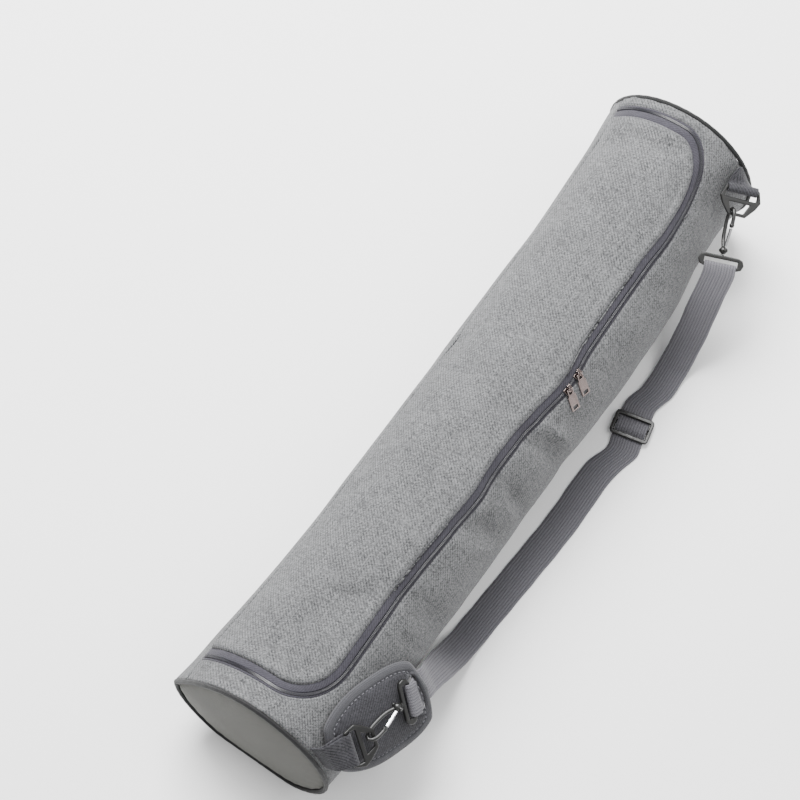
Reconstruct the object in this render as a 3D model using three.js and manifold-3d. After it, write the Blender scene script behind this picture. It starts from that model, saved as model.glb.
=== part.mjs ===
// A yoga mat bag lying on its side: a cloth tube with a zipped flap, two end discs, and a shoulder
// strap on snap hooks that lies on the floor beside it.
// Millimetres. +X runs along the bag to its top end, -Y is the strap's side, +Z is up.
// The origin is the middle of the bag's underside, on the floor.

import * as THREE from 'three';
import { mergeVertices } from 'three/addons/utils/BufferGeometryUtils.js';
import Module from 'manifold-3d';

// Driving dimensions
const bagLength = 680;
const bagWidth = 153;
const bagHeight = 145;
const clothWall = 2;
const pieceGap = 0.3;
const floorBlend = 6;
const pipingRadius = 2;
const pipingProud = 0.9;
const discWall = 2;
const discBulge = 7;
const webWidth = 30;
const webThick = 1.4;
const layerGap = 0.4;

// Zip: the coil's line is the middle of the closure
const hingeAngle = -62;
const zipInsetTop = 12;
const zipInsetLow = 25;
const zipCornerTop = { long: 70, wide: 52 };
const zipCornerLow = { long: 52, wide: 45 };
const coilWidth = 2.6;
const coilHigh = 2.2;
const coilTop = 0.4;
const tapeOnFlap = 6.5;
const tapeOnBody = 1.5;
const tapeThick = 0.8;
const sliderLong = 9;
const sliderWide = 6;
const sliderHigh = 1.2;
const sliderPitch = 17;
const sliderAt = 0.597;
const archHalf = 2.4;
const archBar = 0.8;
const archWide = 1.4;
const archWindow = 3.4;
const pullWide = 9.5;
const pullLong = 16.5;
const pullThick = 1.2;
const linkHalf = 2.2;
const linkLong = 5.6;
const pullHole = { wide: 5.4, long: 3.6 };
const pullSpin = 17;
const pullRest = 0.6;

// Ring, hook and strap loop
const chamfer = 0.5;
const slotSpare = 0.8;
const ringThick = 3;
const ringBar = 4;
const ringSlot = 6.5;
const ringWide = 41;
const ringTall = 27;
const ringTaper = 3.6;
const ringApexHalf = 8.5;
const ringApexBar = 3.2;
const hookRod = 3.8;
const hookTall = 40;
const hookSpread = 5.2;
const hookShift = { top: 5, low: -4 };
const hookSlack = { top: 1.3, low: 2.8 };
const swivelSize = 7.4;
const gateWide = 2.4;
const loopBar = 3.6;
const loopSlot = 5;
const loopPost = 1.2;
const loopRail = 5.6;
const buckleLong = 25;
const buckleBar = 4;
const buckleThick = 3;
const buckleMidThick = 2;
const buckleRail = 3.4;

// Tabs: which end of the bag, angle round the rim, and rises of the webbing off the straight line
// from the rim to the ring
const tabRootInset = 3;
const tabLead = 2.5;
const tabSpots = {
  top: { at: 1, angle: 60, rises: [{ share: 0.45, high: 0.5 }] },
  low: { at: 0, angle: 54, rises: [{ share: 0.2, high: 6 }, { share: 0.45, high: 5 }, { share: 0.7, high: 2.5 }] },
};
const ringTopReach = [-25, -10, 2];
const ringTopAlong = [-0.853, -0.308, -0.427];
const ringTopAcross = [-0.532, 0.799, 0.281];
const hookTopAlong = [0.872, 0.35, 0.343];
const hookTopAcross = [0.38, -0.925, 0];
const rollTop = -60;
const rollLow = 60;

// Pad
const padLong = 112;
const padWide = 78;
const padThick = 6;
const padSeat = { at: 0.0915, angle: 43 };
const padSpin = 21.8;
const padOut = 34;
const padLift = 5.9;
const padBow = { across: 5, along: 2, droop: 3, droopFrom: 15 };
const padBlunt = { top: 3.2, low: 2 };
const padEndCut = 0.86;
const padEdgeShare = 0.5;
const slitLong = 34;
const slitWide = 8;
const slitAt = 44.5;
const slitShift = -1;
const wrapStart = 8;
const ringLowSpot = { u: 3.4, v: -31.5, rise: 4.6 };

// Directions of the low ring, hook and loop in the pad's frame
const ringLowAlong = [0.09, 0.985, 0.14];
const ringLowAcross = [1, -0.09, 0];
const hookLowAlong = [0.2, -0.98, 0.08];
const hookLowAcross = [1, 0.2, 0];
const loopLowAlong = [-0.16, -0.98, 0.08];
const loopLowAcross = [1, -0.16, 0];

// Mesh density
const windowRows = 12;
const flankRows = 24;
const windowColumns = 24;
const endColumns = 3;
const ribbonBend = 0.35;

// Pad grid: rows along its length as shares of half of it, and columns on each side of its middle,
// where slit reaches out to the slit's end and out from there to the outline
const slitNear = 2 * (slitAt - slitWide / 2) / padLong;
const slitFar = 2 * (slitAt + slitWide / 2) / padLong;
const padRows = [-1, -0.96, -0.86, -0.68, -0.45, -0.2, 0.05, 0.3, 0.52, 0.68, slitNear, slitFar, 1];
const slitRow = 10;
const slitColumns = { from: 2, to: 5 };
const padColumns = [
  { side: -1, slit: 1, out: 1 },
  { side: -1, slit: 1, out: 0.5 },
  { side: -1, slit: 1, out: 0 },
  { side: 1, slit: 0, out: 0 },
  { side: 1, slit: 0.5, out: 0 },
  { side: 1, slit: 1, out: 0 },
  { side: 1, slit: 1, out: 0.6 },
  { side: 1, slit: 1, out: 1 },
];

// Lying section from the bottom end (0) to the top end (1). left and right are half widths as shares
// of half the bag's width, high is a share of its height, pinch sharpens the left edge, and foot and
// head slide the underside and the crown along X, as shares of the height.
const sections = [
  { at: 0, left: 1.18, right: 0.98, high: 1.01, pinch: 1.9, foot: -0.042, head: 0.035 },
  { at: 0.05, left: 1.14, right: 1.01, high: 0.985, pinch: 1.35, foot: -0.036, head: 0.03 },
  { at: 0.12, left: 1.07, right: 1.02, high: 0.98, pinch: 1.1, foot: -0.02, head: 0.018 },
  { at: 0.25, left: 0.99, right: 1.0, high: 0.993, pinch: 1, foot: 0, head: 0 },
  { at: 0.4, left: 0.98, right: 1.013, high: 1.0, pinch: 1, foot: 0, head: 0 },
  { at: 0.5, left: 0.967, right: 1.0, high: 1.0, pinch: 1, foot: 0, head: 0 },
  { at: 0.65, left: 0.974, right: 1.039, high: 0.993, pinch: 1, foot: 0, head: 0 },
  { at: 0.8, left: 0.974, right: 1.02, high: 0.993, pinch: 1, foot: 0, head: 0.012 },
  { at: 0.88, left: 1.007, right: 0.915, high: 1.007, pinch: 1, foot: 0, head: 0.03 },
  { at: 0.95, left: 1.046, right: 0.915, high: 1.02, pinch: 1, foot: 0, head: 0.052 },
  { at: 1, left: 1.098, right: 0.954, high: 1.02, pinch: 1, foot: 0, head: 0.062 },
];

// Angle of the zip's long side, from the crown towards the strap's side, in degrees
const zipRun = [
  { at: 0, angle: 31 },
  { at: 0.27, angle: 31 },
  { at: 0.4, angle: 35 },
  { at: 0.46, angle: 33.4 },
  { at: 0.54, angle: 35.8 },
  { at: 0.6, angle: 39 },
  { at: 0.66, angle: 35 },
  { at: 0.8, angle: 34 },
  { at: 0.86, angle: 37.8 },
  { at: 1, angle: 38 },
];

// Dents (negative) and ridges (positive) in the cloth. deep is a share of the height, long and wide
// are shares of the width, and turn is the fold's angle to the bag's length.
const folds = [
  { at: 0.93, angle: -30, deep: -0.014, long: 0.28, wide: 0.07, turn: 86 },
  { at: 0.97, angle: 20, deep: -0.012, long: 0.2, wide: 0.08, turn: 60 },
  { at: 0.72, angle: -8, deep: -0.03, long: 0.5, wide: 0.2, turn: 12 },
  { at: 0.84, angle: 12, deep: 0.016, long: 0.4, wide: 0.16, turn: 0 },
  { at: 0.55, angle: -30, deep: -0.024, long: 0.34, wide: 0.09, turn: 118 },
  { at: 0.46, angle: 22, deep: 0.014, long: 0.9, wide: 0.1, turn: 2 },
  { at: 0.3, angle: 16, deep: 0.014, long: 0.7, wide: 0.12, turn: -3 },
  { at: 0.19, angle: 6, deep: -0.02, long: 0.26, wide: 0.09, turn: 40 },
  { at: 0.12, angle: -10, deep: -0.016, long: 0.3, wide: 0.12, turn: 20 },
  { at: 0.545, angle: 60, deep: 0.03, long: 0.2, wide: 0.07, turn: 70 },
  { at: 0.525, angle: 62, deep: -0.04, long: 0.26, wide: 0.08, turn: 76 },
  { at: 0.44, angle: 64, deep: -0.035, long: 0.24, wide: 0.08, turn: 84 },
  { at: 0.38, angle: 58, deep: -0.03, long: 0.26, wide: 0.08, turn: 62 },
  { at: 0.245, angle: 66, deep: -0.035, long: 0.24, wide: 0.1, turn: 80 },
  { at: 0.95, angle: 66, deep: -0.045, long: 0.3, wide: 0.22, turn: 60 },
];

// Doubled strap from the top hook down to the floor. along is a share of the length from the
// middle, out a share of the width from the bag's middle line, high a share of the height, and turn
// swings the webbing's width away from -Y, in degrees.
const strapFall = [
  { along: 0.345, out: 0.63, high: 0.455, turn: 19 },
  { along: 0.315, out: 0.645, high: 0.27, turn: 16 },
  { along: 0.293, out: 0.648, high: 0.12, turn: 14 },
  { along: 0.265, out: 0.652, high: 0.02, turn: 13 },
  { along: 0.23, out: 0.655, high: 0, turn: 12.4 },
];
const buckleSpot = { along: 0.165, out: 0.6575, high: 0, turn: 12.4 };

// Weave through the buckle, along and high from its middle, as a share of its length and in mm
const buckleWeave = [
  { along: -0.9, high: 1.8 },
  { along: -0.4, high: 1.8 },
  { along: -0.31, high: 2 },
  { along: -0.12, high: 5.5 },
  { along: -0.06, high: 5.9 },
  { along: 0.06, high: 5.9 },
  { along: 0.12, high: 5.5 },
  { along: 0.31, high: 2 },
  { along: 0.4, high: 1.8 },
  { along: 0.6, high: 1.6 },
  { along: 1, high: 0.2 },
];

// Single strap from the buckle to the pad, in the columns of strapFall. pad is the share by which
// the width turns to the pad's own.
const strapRun = [
  { along: 0.09, out: 0.65, high: 0, turn: 6, pad: 0 },
  { along: -0.009, out: 0.645, high: 0, turn: 0, pad: 0 },
  { along: -0.1, out: 0.621, high: 0, turn: -4, pad: 0 },
  { along: -0.185, out: 0.595, high: 0, turn: -4, pad: 0 },
  { along: -0.22, out: 0.588, high: 0.02, turn: -5, pad: 0 },
  { along: -0.253, out: 0.585, high: 0.124, turn: -6, pad: 0.2 },
  { along: -0.28, out: 0.59, high: 0.29, turn: -8, pad: 0.5 },
  { along: -0.307, out: 0.6, high: 0.45, turn: -10, pad: 0.9 },
];

// Strap through the pad's slit: along from the slit's middle, and height off the pad's middle
const slitPath = [
  { along: 14, high: -5.5 },
  { along: 4.6, high: -4.6 },
  { along: 1.6, high: -1.8 },
  { along: -0.4, high: 1.2 },
  { along: -3.4, high: 3.8 },
  { along: -8, high: 4.4 },
];

const wasm = await Module();
wasm.setup();

const bag = new THREE.Group();

const cloth = { color: 0x959698, roughness: 0.85, metalness: 0 };
const discCloth = { color: 0x8c8d8b, roughness: 0.7, metalness: 0 };
const tapeCloth = { color: 0x5b5866, roughness: 0.8, metalness: 0 };
const coilPlastic = { color: 0x1c1b20, roughness: 0.35, metalness: 0 };
const pipingCloth = { color: 0x202022, roughness: 0.6, metalness: 0 };
const webbing = { color: 0x646368, roughness: 0.8, metalness: 0 };
const blackPlastic = { color: 0x1b1b1c, roughness: 0.4, metalness: 0 };
const nickel = { color: 0xb9aaa6, roughness: 0.25, metalness: 1 };
const padCloth = { color: 0x5d5e66, roughness: 0.85, metalness: 0 };

function addPiece(name, geometry, look) {
  const mesh = new THREE.Mesh(geometry, new THREE.MeshStandardMaterial(look));
  mesh.name = name;
  bag.add(mesh);
  return mesh;
}

// Closed geometry from corners and triangles, turned so that its faces point out
function closedGeometry(corners, triangles) {
  let volume = 0;
  for (const [a, b, c] of triangles) {
    const across = new THREE.Vector3().crossVectors(corners[b], corners[c]);
    volume += corners[a].dot(across);
  }
  const faces = volume < 0 ? triangles.map(([a, b, c]) => [a, c, b]) : triangles;
  const geometry = new THREE.BufferGeometry();
  const positions = corners.flatMap((corner) => [corner.x, corner.y, corner.z]);
  geometry.setAttribute('position', new THREE.Float32BufferAttribute(positions, 3));
  geometry.setIndex(faces.flat());
  return geometry;
}

// Sheet with a thickness: quads over flat points, placed at two lifts and closed along every free edge
function sheetGeometry(points, quads, place, lifts) {
  const corners = [];
  for (const lift of lifts) {
    for (const point of points) {
      corners.push(place(point, lift));
    }
  }
  const count = points.length;
  const triangles = [];
  const freeEdges = new Map();
  for (const quad of quads) {
    const [a, b, c, d] = quad;
    triangles.push([a, b, c], [a, c, d]);
    triangles.push([a + count, c + count, b + count], [a + count, d + count, c + count]);
    quad.forEach((from, side) => {
      const to = quad[(side + 1) % quad.length];
      if (from === to) return;
      if (freeEdges.has(`${to},${from}`)) freeEdges.delete(`${to},${from}`);
      else freeEdges.set(`${from},${to}`, [from, to]);
    });
  }
  for (const [from, to] of freeEdges.values()) {
    triangles.push([from, from + count, to + count], [from, to + count, to]);
  }
  const solid = triangles.filter(([a, b, c]) => a !== b && b !== c && c !== a);
  return closedGeometry(corners, solid);
}

// Manifold join and cut of closed three.js geometries
function manifoldOf(geometry) {
  const bare = geometry.clone();
  bare.deleteAttribute('normal');
  bare.deleteAttribute('uv');
  const merged = mergeVertices(bare, 1e-4);
  return new wasm.Manifold(new wasm.Mesh({
    numProp: 3,
    vertProperties: new Float32Array(merged.attributes.position.array),
    triVerts: new Uint32Array(merged.index.array),
  }));
}

function joined(geometries) {
  const whole = geometries.map(manifoldOf).reduce((sum, next) => sum.add(next));
  const mesh = whole.getMesh();
  const geometry = new THREE.BufferGeometry();
  geometry.setAttribute('position', new THREE.BufferAttribute(mesh.vertProperties, 3));
  geometry.setIndex(new THREE.BufferAttribute(mesh.triVerts, 1));
  return geometry;
}

const mix = (from, to, share) => from + (to - from) * share;

// Smooth value of one column of a table, by its at column
function tableValue(rows, at, column) {
  const last = rows.length - 1;
  let row = 0;
  while (row < last - 1 && at > rows[row + 1].at) row += 1;
  const slope = (index) => {
    const before = rows[Math.max(index - 1, 0)];
    const after = rows[Math.min(index + 1, last)];
    return (after[column] - before[column]) / (after.at - before.at);
  };
  const [low, high] = [rows[row], rows[row + 1]];
  const span = high.at - low.at;
  const t = THREE.MathUtils.clamp((at - low.at) / span, 0, 1);
  const [t2, t3] = [t * t, t * t * t];
  return (2 * t3 - 3 * t2 + 1) * low[column] + (t3 - 2 * t2 + t) * span * slope(row)
    + (3 * t2 - 2 * t3) * high[column] + (t3 - t2) * span * slope(row + 1);
}

const axleShare = 0.47;
const halfLength = bagLength / 2;
const halfWidth = bagWidth / 2;
const unrollRadius = halfWidth;
const mmPerDegree = THREE.MathUtils.degToRad(unrollRadius);

// Smooth body surface at a share of the length and an angle from the crown
function plainSkin(at, angle) {
  const radians = THREE.MathUtils.degToRad(angle);
  const [across, up] = [Math.sin(radians), Math.cos(radians)];
  const high = bagHeight * tableValue(sections, at, 'high');
  const side = across > 0 ? 'right' : 'left';
  const wide = halfWidth * tableValue(sections, at, side);
  const pinch = across < 0 && up > 0 ? tableValue(sections, at, 'pinch') : 1;
  const axle = high * axleShare;
  const reach = high - axle;
  let z = axle + reach * Math.sign(up) * Math.abs(up) ** pinch;
  const raise = pipingProud * Math.max(0, 1 - Math.min(at, 1 - at) / 0.05) ** 2;
  const above = z - raise;
  if (above < floorBlend) {
    z = raise + (above <= -floorBlend ? 0 : (above + floorBlend) ** 2 / (4 * floorBlend));
  }
  const foot = bagHeight * tableValue(sections, at, 'foot');
  const head = bagHeight * tableValue(sections, at, 'head');
  return new THREE.Vector3(mix(-halfLength, halfLength, at) + mix(foot, head, z / high), -wide * across, z);
}

function plainNormal(at, angle) {
  const step = 0.002;
  const turn = 0.8;
  const [low, high] = [Math.max(at - step, 0), Math.min(at + step, 1)];
  const alongSkin = plainSkin(high, angle).sub(plainSkin(low, angle));
  const roundSkin = plainSkin(at, angle + turn).sub(plainSkin(at, angle - turn));
  return alongSkin.cross(roundSkin).normalize().negate();
}

function foldLift(at, angle) {
  let lift = 0;
  for (const fold of folds) {
    const turn = THREE.MathUtils.degToRad(fold.turn);
    const x = (at - fold.at) * bagLength;
    const y = (angle - fold.angle) * mmPerDegree;
    const u = (x * Math.cos(turn) + y * Math.sin(turn)) / (fold.long * bagWidth);
    const v = (y * Math.cos(turn) - x * Math.sin(turn)) / (fold.wide * bagWidth);
    lift += fold.deep * bagHeight * Math.exp(-u * u - v * v);
  }
  return lift;
}

// Flat points are { x, a }: millimetres along the bag from its middle and round it from the crown
function onSkin(point, lift) {
  const at = (point.x + halfLength) / bagLength;
  const angle = point.a / mmPerDegree;
  const away = lift + foldLift(at, angle);
  return plainSkin(at, angle).addScaledVector(plainNormal(at, angle), away);
}

// Outline of the closure, grown outwards by a distance
const hingeLine = hingeAngle * mmPerDegree;
const zipLine = (x) => tableValue(zipRun, (x + halfLength) / bagLength, 'angle') * mmPerDegree;
const closureEnds = {
  low: { x: -halfLength + zipInsetLow, inward: 1, corner: zipCornerLow },
  top: { x: halfLength - zipInsetTop, inward: -1, corner: zipCornerTop },
};

function endEdge(end, share, grow) {
  const { x, inward, corner } = closureEnds[end];
  const centreX = x + inward * corner.long;
  const centreA = zipLine(centreX) - corner.wide;
  const straight = centreA - hingeLine;
  const bend = (corner.long + corner.wide) * 0.79;
  const travelled = share * (straight + bend);
  if (travelled < straight) {
    return { x: x - inward * grow, a: hingeLine + travelled };
  }
  const turn = (travelled - straight) / bend * Math.PI / 2;
  return {
    x: centreX - inward * (corner.long + grow) * Math.cos(turn),
    a: centreA + (corner.wide + grow) * Math.sin(turn),
  };
}

function longEdge(share, grow) {
  const { low, top } = closureEnds;
  const x = mix(low.x + low.corner.long, top.x - top.corner.long, share);
  return { x, a: zipLine(x) + grow };
}

const mixPoint = (from, to, share) => ({ x: mix(from.x, to.x, share), a: mix(from.a, to.a, share) });

const clothEdgeOut = coilWidth / 2 + tapeOnBody + 2 * pieceGap;
const clothEdgeIn = -(coilWidth / 2 + tapeOnFlap + 2 * pieceGap);

// Body shell: one grid round the bag, with the closure's window left out
function bodyShell() {
  const columns = 2 * endColumns + windowColumns;
  const rows = windowRows + flankRows;
  const fullTurn = 360 * mmPerDegree;
  const endPoint = (end, share) => {
    const side = end === 'low' ? -halfLength : halfLength;
    return { x: side, a: mix(hingeLine, zipLine(side), share) };
  };
  const rowPoint = (share, column) => {
    if (column <= endColumns) {
      return mixPoint(endPoint('low', share), endEdge('low', share, clothEdgeOut), column / endColumns);
    }
    if (column >= endColumns + windowColumns) {
      const inward = (columns - column) / endColumns;
      return mixPoint(endPoint('top', share), endEdge('top', share, clothEdgeOut), inward);
    }
    const along = (column - endColumns) / windowColumns;
    if (share === 1) return longEdge(along, clothEdgeOut);
    const from = endEdge('low', 0, clothEdgeOut);
    const to = endEdge('top', 0, clothEdgeOut);
    return { x: mix(from.x, to.x, along), a: hingeLine };
  };
  const points = [];
  for (let row = 0; row < rows; row += 1) {
    for (let column = 0; column <= columns; column += 1) {
      if (row <= windowRows) {
        points.push(rowPoint(row / windowRows, column));
      } else {
        const below = rowPoint(0, column);
        const share = (row - windowRows) / flankRows;
        points.push(mixPoint(rowPoint(1, column), { x: below.x, a: below.a + fullTurn }, share));
      }
    }
  }
  const quads = [];
  for (let row = 0; row < rows; row += 1) {
    for (let column = 0; column < columns; column += 1) {
      const open = column >= endColumns && column < endColumns + windowColumns;
      if (row < windowRows && open) continue;
      const here = row * (columns + 1) + column;
      const next = ((row + 1) % rows) * (columns + 1) + column;
      quads.push([here, here + 1, next + 1, next]);
    }
  }
  return sheetGeometry(points, quads, onSkin, [0, -clothWall]);
}

// Flap panel: a grid that fills the closure's outline, blended from its four edges
function flapPanel() {
  const points = [];
  const quads = [];
  for (let row = 0; row <= windowRows; row += 1) {
    for (let column = 0; column <= windowColumns; column += 1) {
      const [v, u] = [row / windowRows, column / windowColumns];
      const low = endEdge('low', v, clothEdgeIn);
      const top = endEdge('top', v, clothEdgeIn);
      const zip = longEdge(u, clothEdgeIn);
      const hinge = mixPoint(endEdge('low', 0, clothEdgeIn), endEdge('top', 0, clothEdgeIn), u);
      const corners = mixPoint(
        mixPoint(endEdge('low', 0, clothEdgeIn), endEdge('low', 1, clothEdgeIn), v),
        mixPoint(endEdge('top', 0, clothEdgeIn), endEdge('top', 1, clothEdgeIn), v),
        u,
      );
      const ends = mixPoint(low, top, u);
      const sides = mixPoint(hinge, zip, v);
      points.push({
        x: ends.x + sides.x - corners.x,
        a: ends.a + sides.a - corners.a + (1 - v) * pieceGap,
      });
    }
  }
  for (let row = 0; row < windowRows; row += 1) {
    for (let column = 0; column < windowColumns; column += 1) {
      const here = row * (windowColumns + 1) + column;
      const next = here + windowColumns + 1;
      quads.push([here, here + 1, next + 1, next]);
    }
  }
  return sheetGeometry(points, quads, onSkin, [0, -clothWall]);
}

// Strip that follows the zip between two distances from the coil's line
function zipStrip(inner, outer, lifts) {
  const edges = [];
  for (let step = 0; step <= windowRows; step += 1) {
    edges.push((grow) => endEdge('low', step / windowRows, grow));
  }
  for (let step = 1; step < windowColumns; step += 1) {
    edges.push((grow) => longEdge(step / windowColumns, grow));
  }
  for (let step = windowRows; step >= 0; step -= 1) {
    edges.push((grow) => endEdge('top', step / windowRows, grow));
  }
  const points = [];
  const quads = [];
  edges.forEach((edge, index) => {
    const start = index === 0 || index === edges.length - 1 ? pieceGap : 0;
    for (const grow of [inner, outer]) {
      const point = edge(grow);
      points.push({ x: point.x, a: point.a + start });
    }
    if (index > 0) quads.push([2 * index - 2, 2 * index - 1, 2 * index + 1, 2 * index]);
  });
  return sheetGeometry(points, quads, onSkin, lifts);
}

// End disc: rings of points inside the rim, bulged along the bag
const ringShares = [0, 0.4, 0.72, 0.9, 1];
const rimSteps = 36;
const discInset = pipingRadius * 2 - pipingProud + pieceGap;

function endDisc(at) {
  const outward = at === 0 ? -1 : 1;
  const rim = [];
  for (let step = 0; step < rimSteps; step += 1) {
    const angle = step * 360 / rimSteps;
    rim.push(plainSkin(at, angle).addScaledVector(plainNormal(at, angle), -discInset));
  }
  const centre = rim.reduce((sum, point) => sum.add(point), new THREE.Vector3()).divideScalar(rimSteps);
  const points = [];
  for (const share of ringShares) {
    for (const point of rim) points.push({ share, point });
  }
  const quads = [];
  for (let ring = 0; ring < ringShares.length - 1; ring += 1) {
    for (let step = 0; step < rimSteps; step += 1) {
      const next = (step + 1) % rimSteps;
      const [inner, outer] = [ring * rimSteps, (ring + 1) * rimSteps];
      if (ring === 0) quads.push([0, 0, outer + step, outer + next]);
      else quads.push([inner + next, inner + step, outer + step, outer + next]);
    }
  }
  const place = ({ share, point }, lift) => {
    const bulge = discBulge * (1 - share * share) ** 0.8;
    const spot = centre.clone().lerp(point, share);
    spot.x += outward * (pieceGap + lift + bulge);
    return spot;
  };
  return sheetGeometry(points, quads, place, [0, discWall]);
}

// Tube of a few sides round a closed loop or along an open run of frames
function tubeGeometry(frames, radius, sides, closed) {
  const corners = [];
  for (const { centre, side, up } of frames) {
    for (let step = 0; step < sides; step += 1) {
      const turn = step / sides * 2 * Math.PI;
      const corner = centre.clone();
      corner.addScaledVector(side, radius * Math.cos(turn));
      corner.addScaledVector(up, radius * Math.sin(turn));
      corners.push(corner);
    }
  }
  const triangles = [];
  const spans = closed ? frames.length : frames.length - 1;
  for (let span = 0; span < spans; span += 1) {
    const after = (span + 1) % frames.length;
    for (let step = 0; step < sides; step += 1) {
      const next = (step + 1) % sides;
      const [a, b] = [span * sides + step, span * sides + next];
      const [c, d] = [after * sides + next, after * sides + step];
      triangles.push([a, b, c], [a, c, d]);
    }
  }
  return closedGeometry(corners, triangles);
}

function pipingLoop(at) {
  const outward = at === 0 ? -1 : 1;
  const frames = [];
  for (let step = 0; step < rimSteps; step += 1) {
    const angle = step * 360 / rimSteps;
    const normal = plainNormal(at, angle);
    const centre = plainSkin(at, angle).addScaledVector(normal, pipingProud - pipingRadius);
    centre.x += outward * (pieceGap + pipingRadius);
    frames.push({ centre, side: normal, up: new THREE.Vector3(outward, 0, 0) });
  }
  return tubeGeometry(frames, pipingRadius, 6, true);
}

addPiece('body_shell', bodyShell(), cloth);
addPiece('flap_panel', flapPanel(), cloth);
const tapeInner = coilWidth / 2 + pieceGap;
const tapeLifts = [-pieceGap, -pieceGap - tapeThick];
addPiece('zip_tape_flap', zipStrip(-tapeInner - tapeOnFlap, -tapeInner, tapeLifts), tapeCloth);
addPiece('zip_tape_body', zipStrip(tapeInner, tapeInner + tapeOnBody, tapeLifts), tapeCloth);
addPiece('zip_coil', zipStrip(-coilWidth / 2, coilWidth / 2, [coilTop, coilTop - coilHigh]), coilPlastic);
addPiece('end_disc_low', endDisc(0), discCloth);
addPiece('end_disc_top', endDisc(1), discCloth);
addPiece('piping_low', pipingLoop(0), pipingCloth);
addPiece('piping_top', pipingLoop(1), pipingCloth);

// Frame of a hard piece: u runs across it, v along it and w through its thickness
function pieceFrame(origin, along, across) {
  const v = along.clone().normalize();
  const u = across.clone().addScaledVector(v, -across.dot(v)).normalize();
  const w = new THREE.Vector3().crossVectors(u, v);
  return new THREE.Matrix4().makeBasis(u, v, w).setPosition(origin);
}

const pointIn = (frame, u, v, w) => new THREE.Vector3(u, v, w).applyMatrix4(frame);
const directionIn = (frame, u, v, w) => new THREE.Vector3(u, v, w).transformDirection(frame);

function addFramed(name, geometry, look, frame) {
  addPiece(name, geometry, look).applyMatrix4(frame);
}

const flatPoints = (corners) => corners.map(([u, v]) => new THREE.Vector2(u, v));

function rectangle(halfU, lowV, highV) {
  return [[-halfU, lowV], [halfU, lowV], [halfU, highV], [-halfU, highV]];
}

function roundedRectangle(halfU, lowV, highV, radius) {
  const corners = [];
  for (const [sideU, sideV, start] of [[1, 1, 0], [-1, 1, 90], [-1, -1, 180], [1, -1, 270]]) {
    const centreU = sideU * (halfU - radius);
    const centreV = sideV > 0 ? highV - radius : lowV + radius;
    for (const step of [0, 45, 90]) {
      const turn = THREE.MathUtils.degToRad(start + step);
      corners.push([centreU + radius * Math.cos(turn), centreV + radius * Math.sin(turn)]);
    }
  }
  return corners;
}

// Flat plate with holes, centred on its thickness, with a chamfer all round
function plateGeometry(edge, holes, thick, chamfer) {
  const shape = new THREE.Shape(flatPoints(edge));
  shape.holes = holes.map((hole) => new THREE.Path(flatPoints(hole)));
  const geometry = new THREE.ExtrudeGeometry(shape, {
    depth: thick - 2 * chamfer,
    bevelEnabled: chamfer > 0,
    bevelThickness: chamfer,
    bevelSize: chamfer,
    bevelOffset: -chamfer,
    bevelSegments: 1,
  });
  return geometry.translate(0, 0, chamfer - thick / 2);
}

// Round rod along points in the plane of a hook
function rodAlong(points, radius, steps) {
  const curve = new THREE.CatmullRomCurve3(points.map(([u, v]) => new THREE.Vector3(u, v, 0)));
  const sides = [0, 1, 2, 3, 4, 5, 6, 7];
  const circle = sides.map((side) => [
    radius * Math.cos(side * Math.PI / 4),
    radius * Math.sin(side * Math.PI / 4),
  ]);
  const section = new THREE.Shape(flatPoints(circle));
  return new THREE.ExtrudeGeometry(section, { steps, bevelEnabled: false, extrudePath: curve });
}

const slotHalf = webWidth / 2 + slotSpare;
const layerStep = webThick + layerGap;

// Triangle ring, with v = 0 across its widest line, where the slot meets the inner bar
const ringBack = -ringBar - ringSlot;
const ringTip = ringTall + ringBack;

function ringPiece() {
  const half = ringWide / 2;
  const shoulder = ringTip * 0.42;
  const edge = [
    [-half + ringTaper, ringBack], [half - ringTaper, ringBack], [half, 0], [half - ringTaper, shoulder],
    [ringApexHalf, ringTip], [-ringApexHalf, ringTip], [-half + ringTaper, shoulder], [-half, 0],
  ];
  const slot = rectangle(slotHalf, ringBack + ringBar, 0);
  const eye = [
    [-half * 0.52, ringBar], [half * 0.52, ringBar],
    [ringApexHalf * 0.75, ringTip - ringApexBar], [-ringApexHalf * 0.75, ringTip - ringApexBar],
  ];
  return plateGeometry(edge, [slot, eye], ringThick, chamfer);
}

// Snap hook: its swivel ball sits at v = 0 and its bend at v = hookTall
const tipSpread = hookSpread * 1.06;
const bulbRadius = hookRod * 0.68;
const bulbAt = hookTall * 0.6;

function hookPiece() {
  const stem = rodAlong([
    [-1, swivelSize / 2 - 1], [-hookSpread * 0.8, hookTall * 0.25], [-hookSpread, hookTall * 0.45],
    [-hookSpread, hookTall * 0.75], [-hookSpread * 0.72, hookTall * 0.92], [0, hookTall],
    [tipSpread * 0.72, hookTall * 0.94], [tipSpread, hookTall * 0.8], [tipSpread, bulbAt],
  ], hookRod / 2, 16);
  const bulb = new THREE.SphereGeometry(bulbRadius, 8, 6);
  bulb.translate(tipSpread - 0.4, bulbAt, 0);
  const ball = new THREE.SphereGeometry(swivelSize / 2, 10, 8);
  const pins = new THREE.CylinderGeometry(swivelSize * 0.26, swivelSize * 0.26, swivelSize * 1.4, 8);
  pins.rotateZ(Math.PI / 2);
  return joined([stem, bulb, ball, pins]);
}

const gateFoot = new THREE.Vector2(hookSpread * 0.45, swivelSize / 2 + gateWide / 2 + pieceGap);
const gateEnd = new THREE.Vector2(tipSpread - 0.6, bulbAt - bulbRadius - gateWide / 2 - pieceGap);

function gatePiece() {
  const long = gateFoot.distanceTo(gateEnd);
  const edge = rectangle(gateWide / 2, -gateWide / 2, long + gateWide / 2);
  const geometry = plateGeometry(edge, [], gateWide, chamfer / 2);
  geometry.rotateZ(gateEnd.clone().sub(gateFoot).angle() - Math.PI / 2);
  return geometry.translate(gateFoot.x, gateFoot.y, 0);
}

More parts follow.
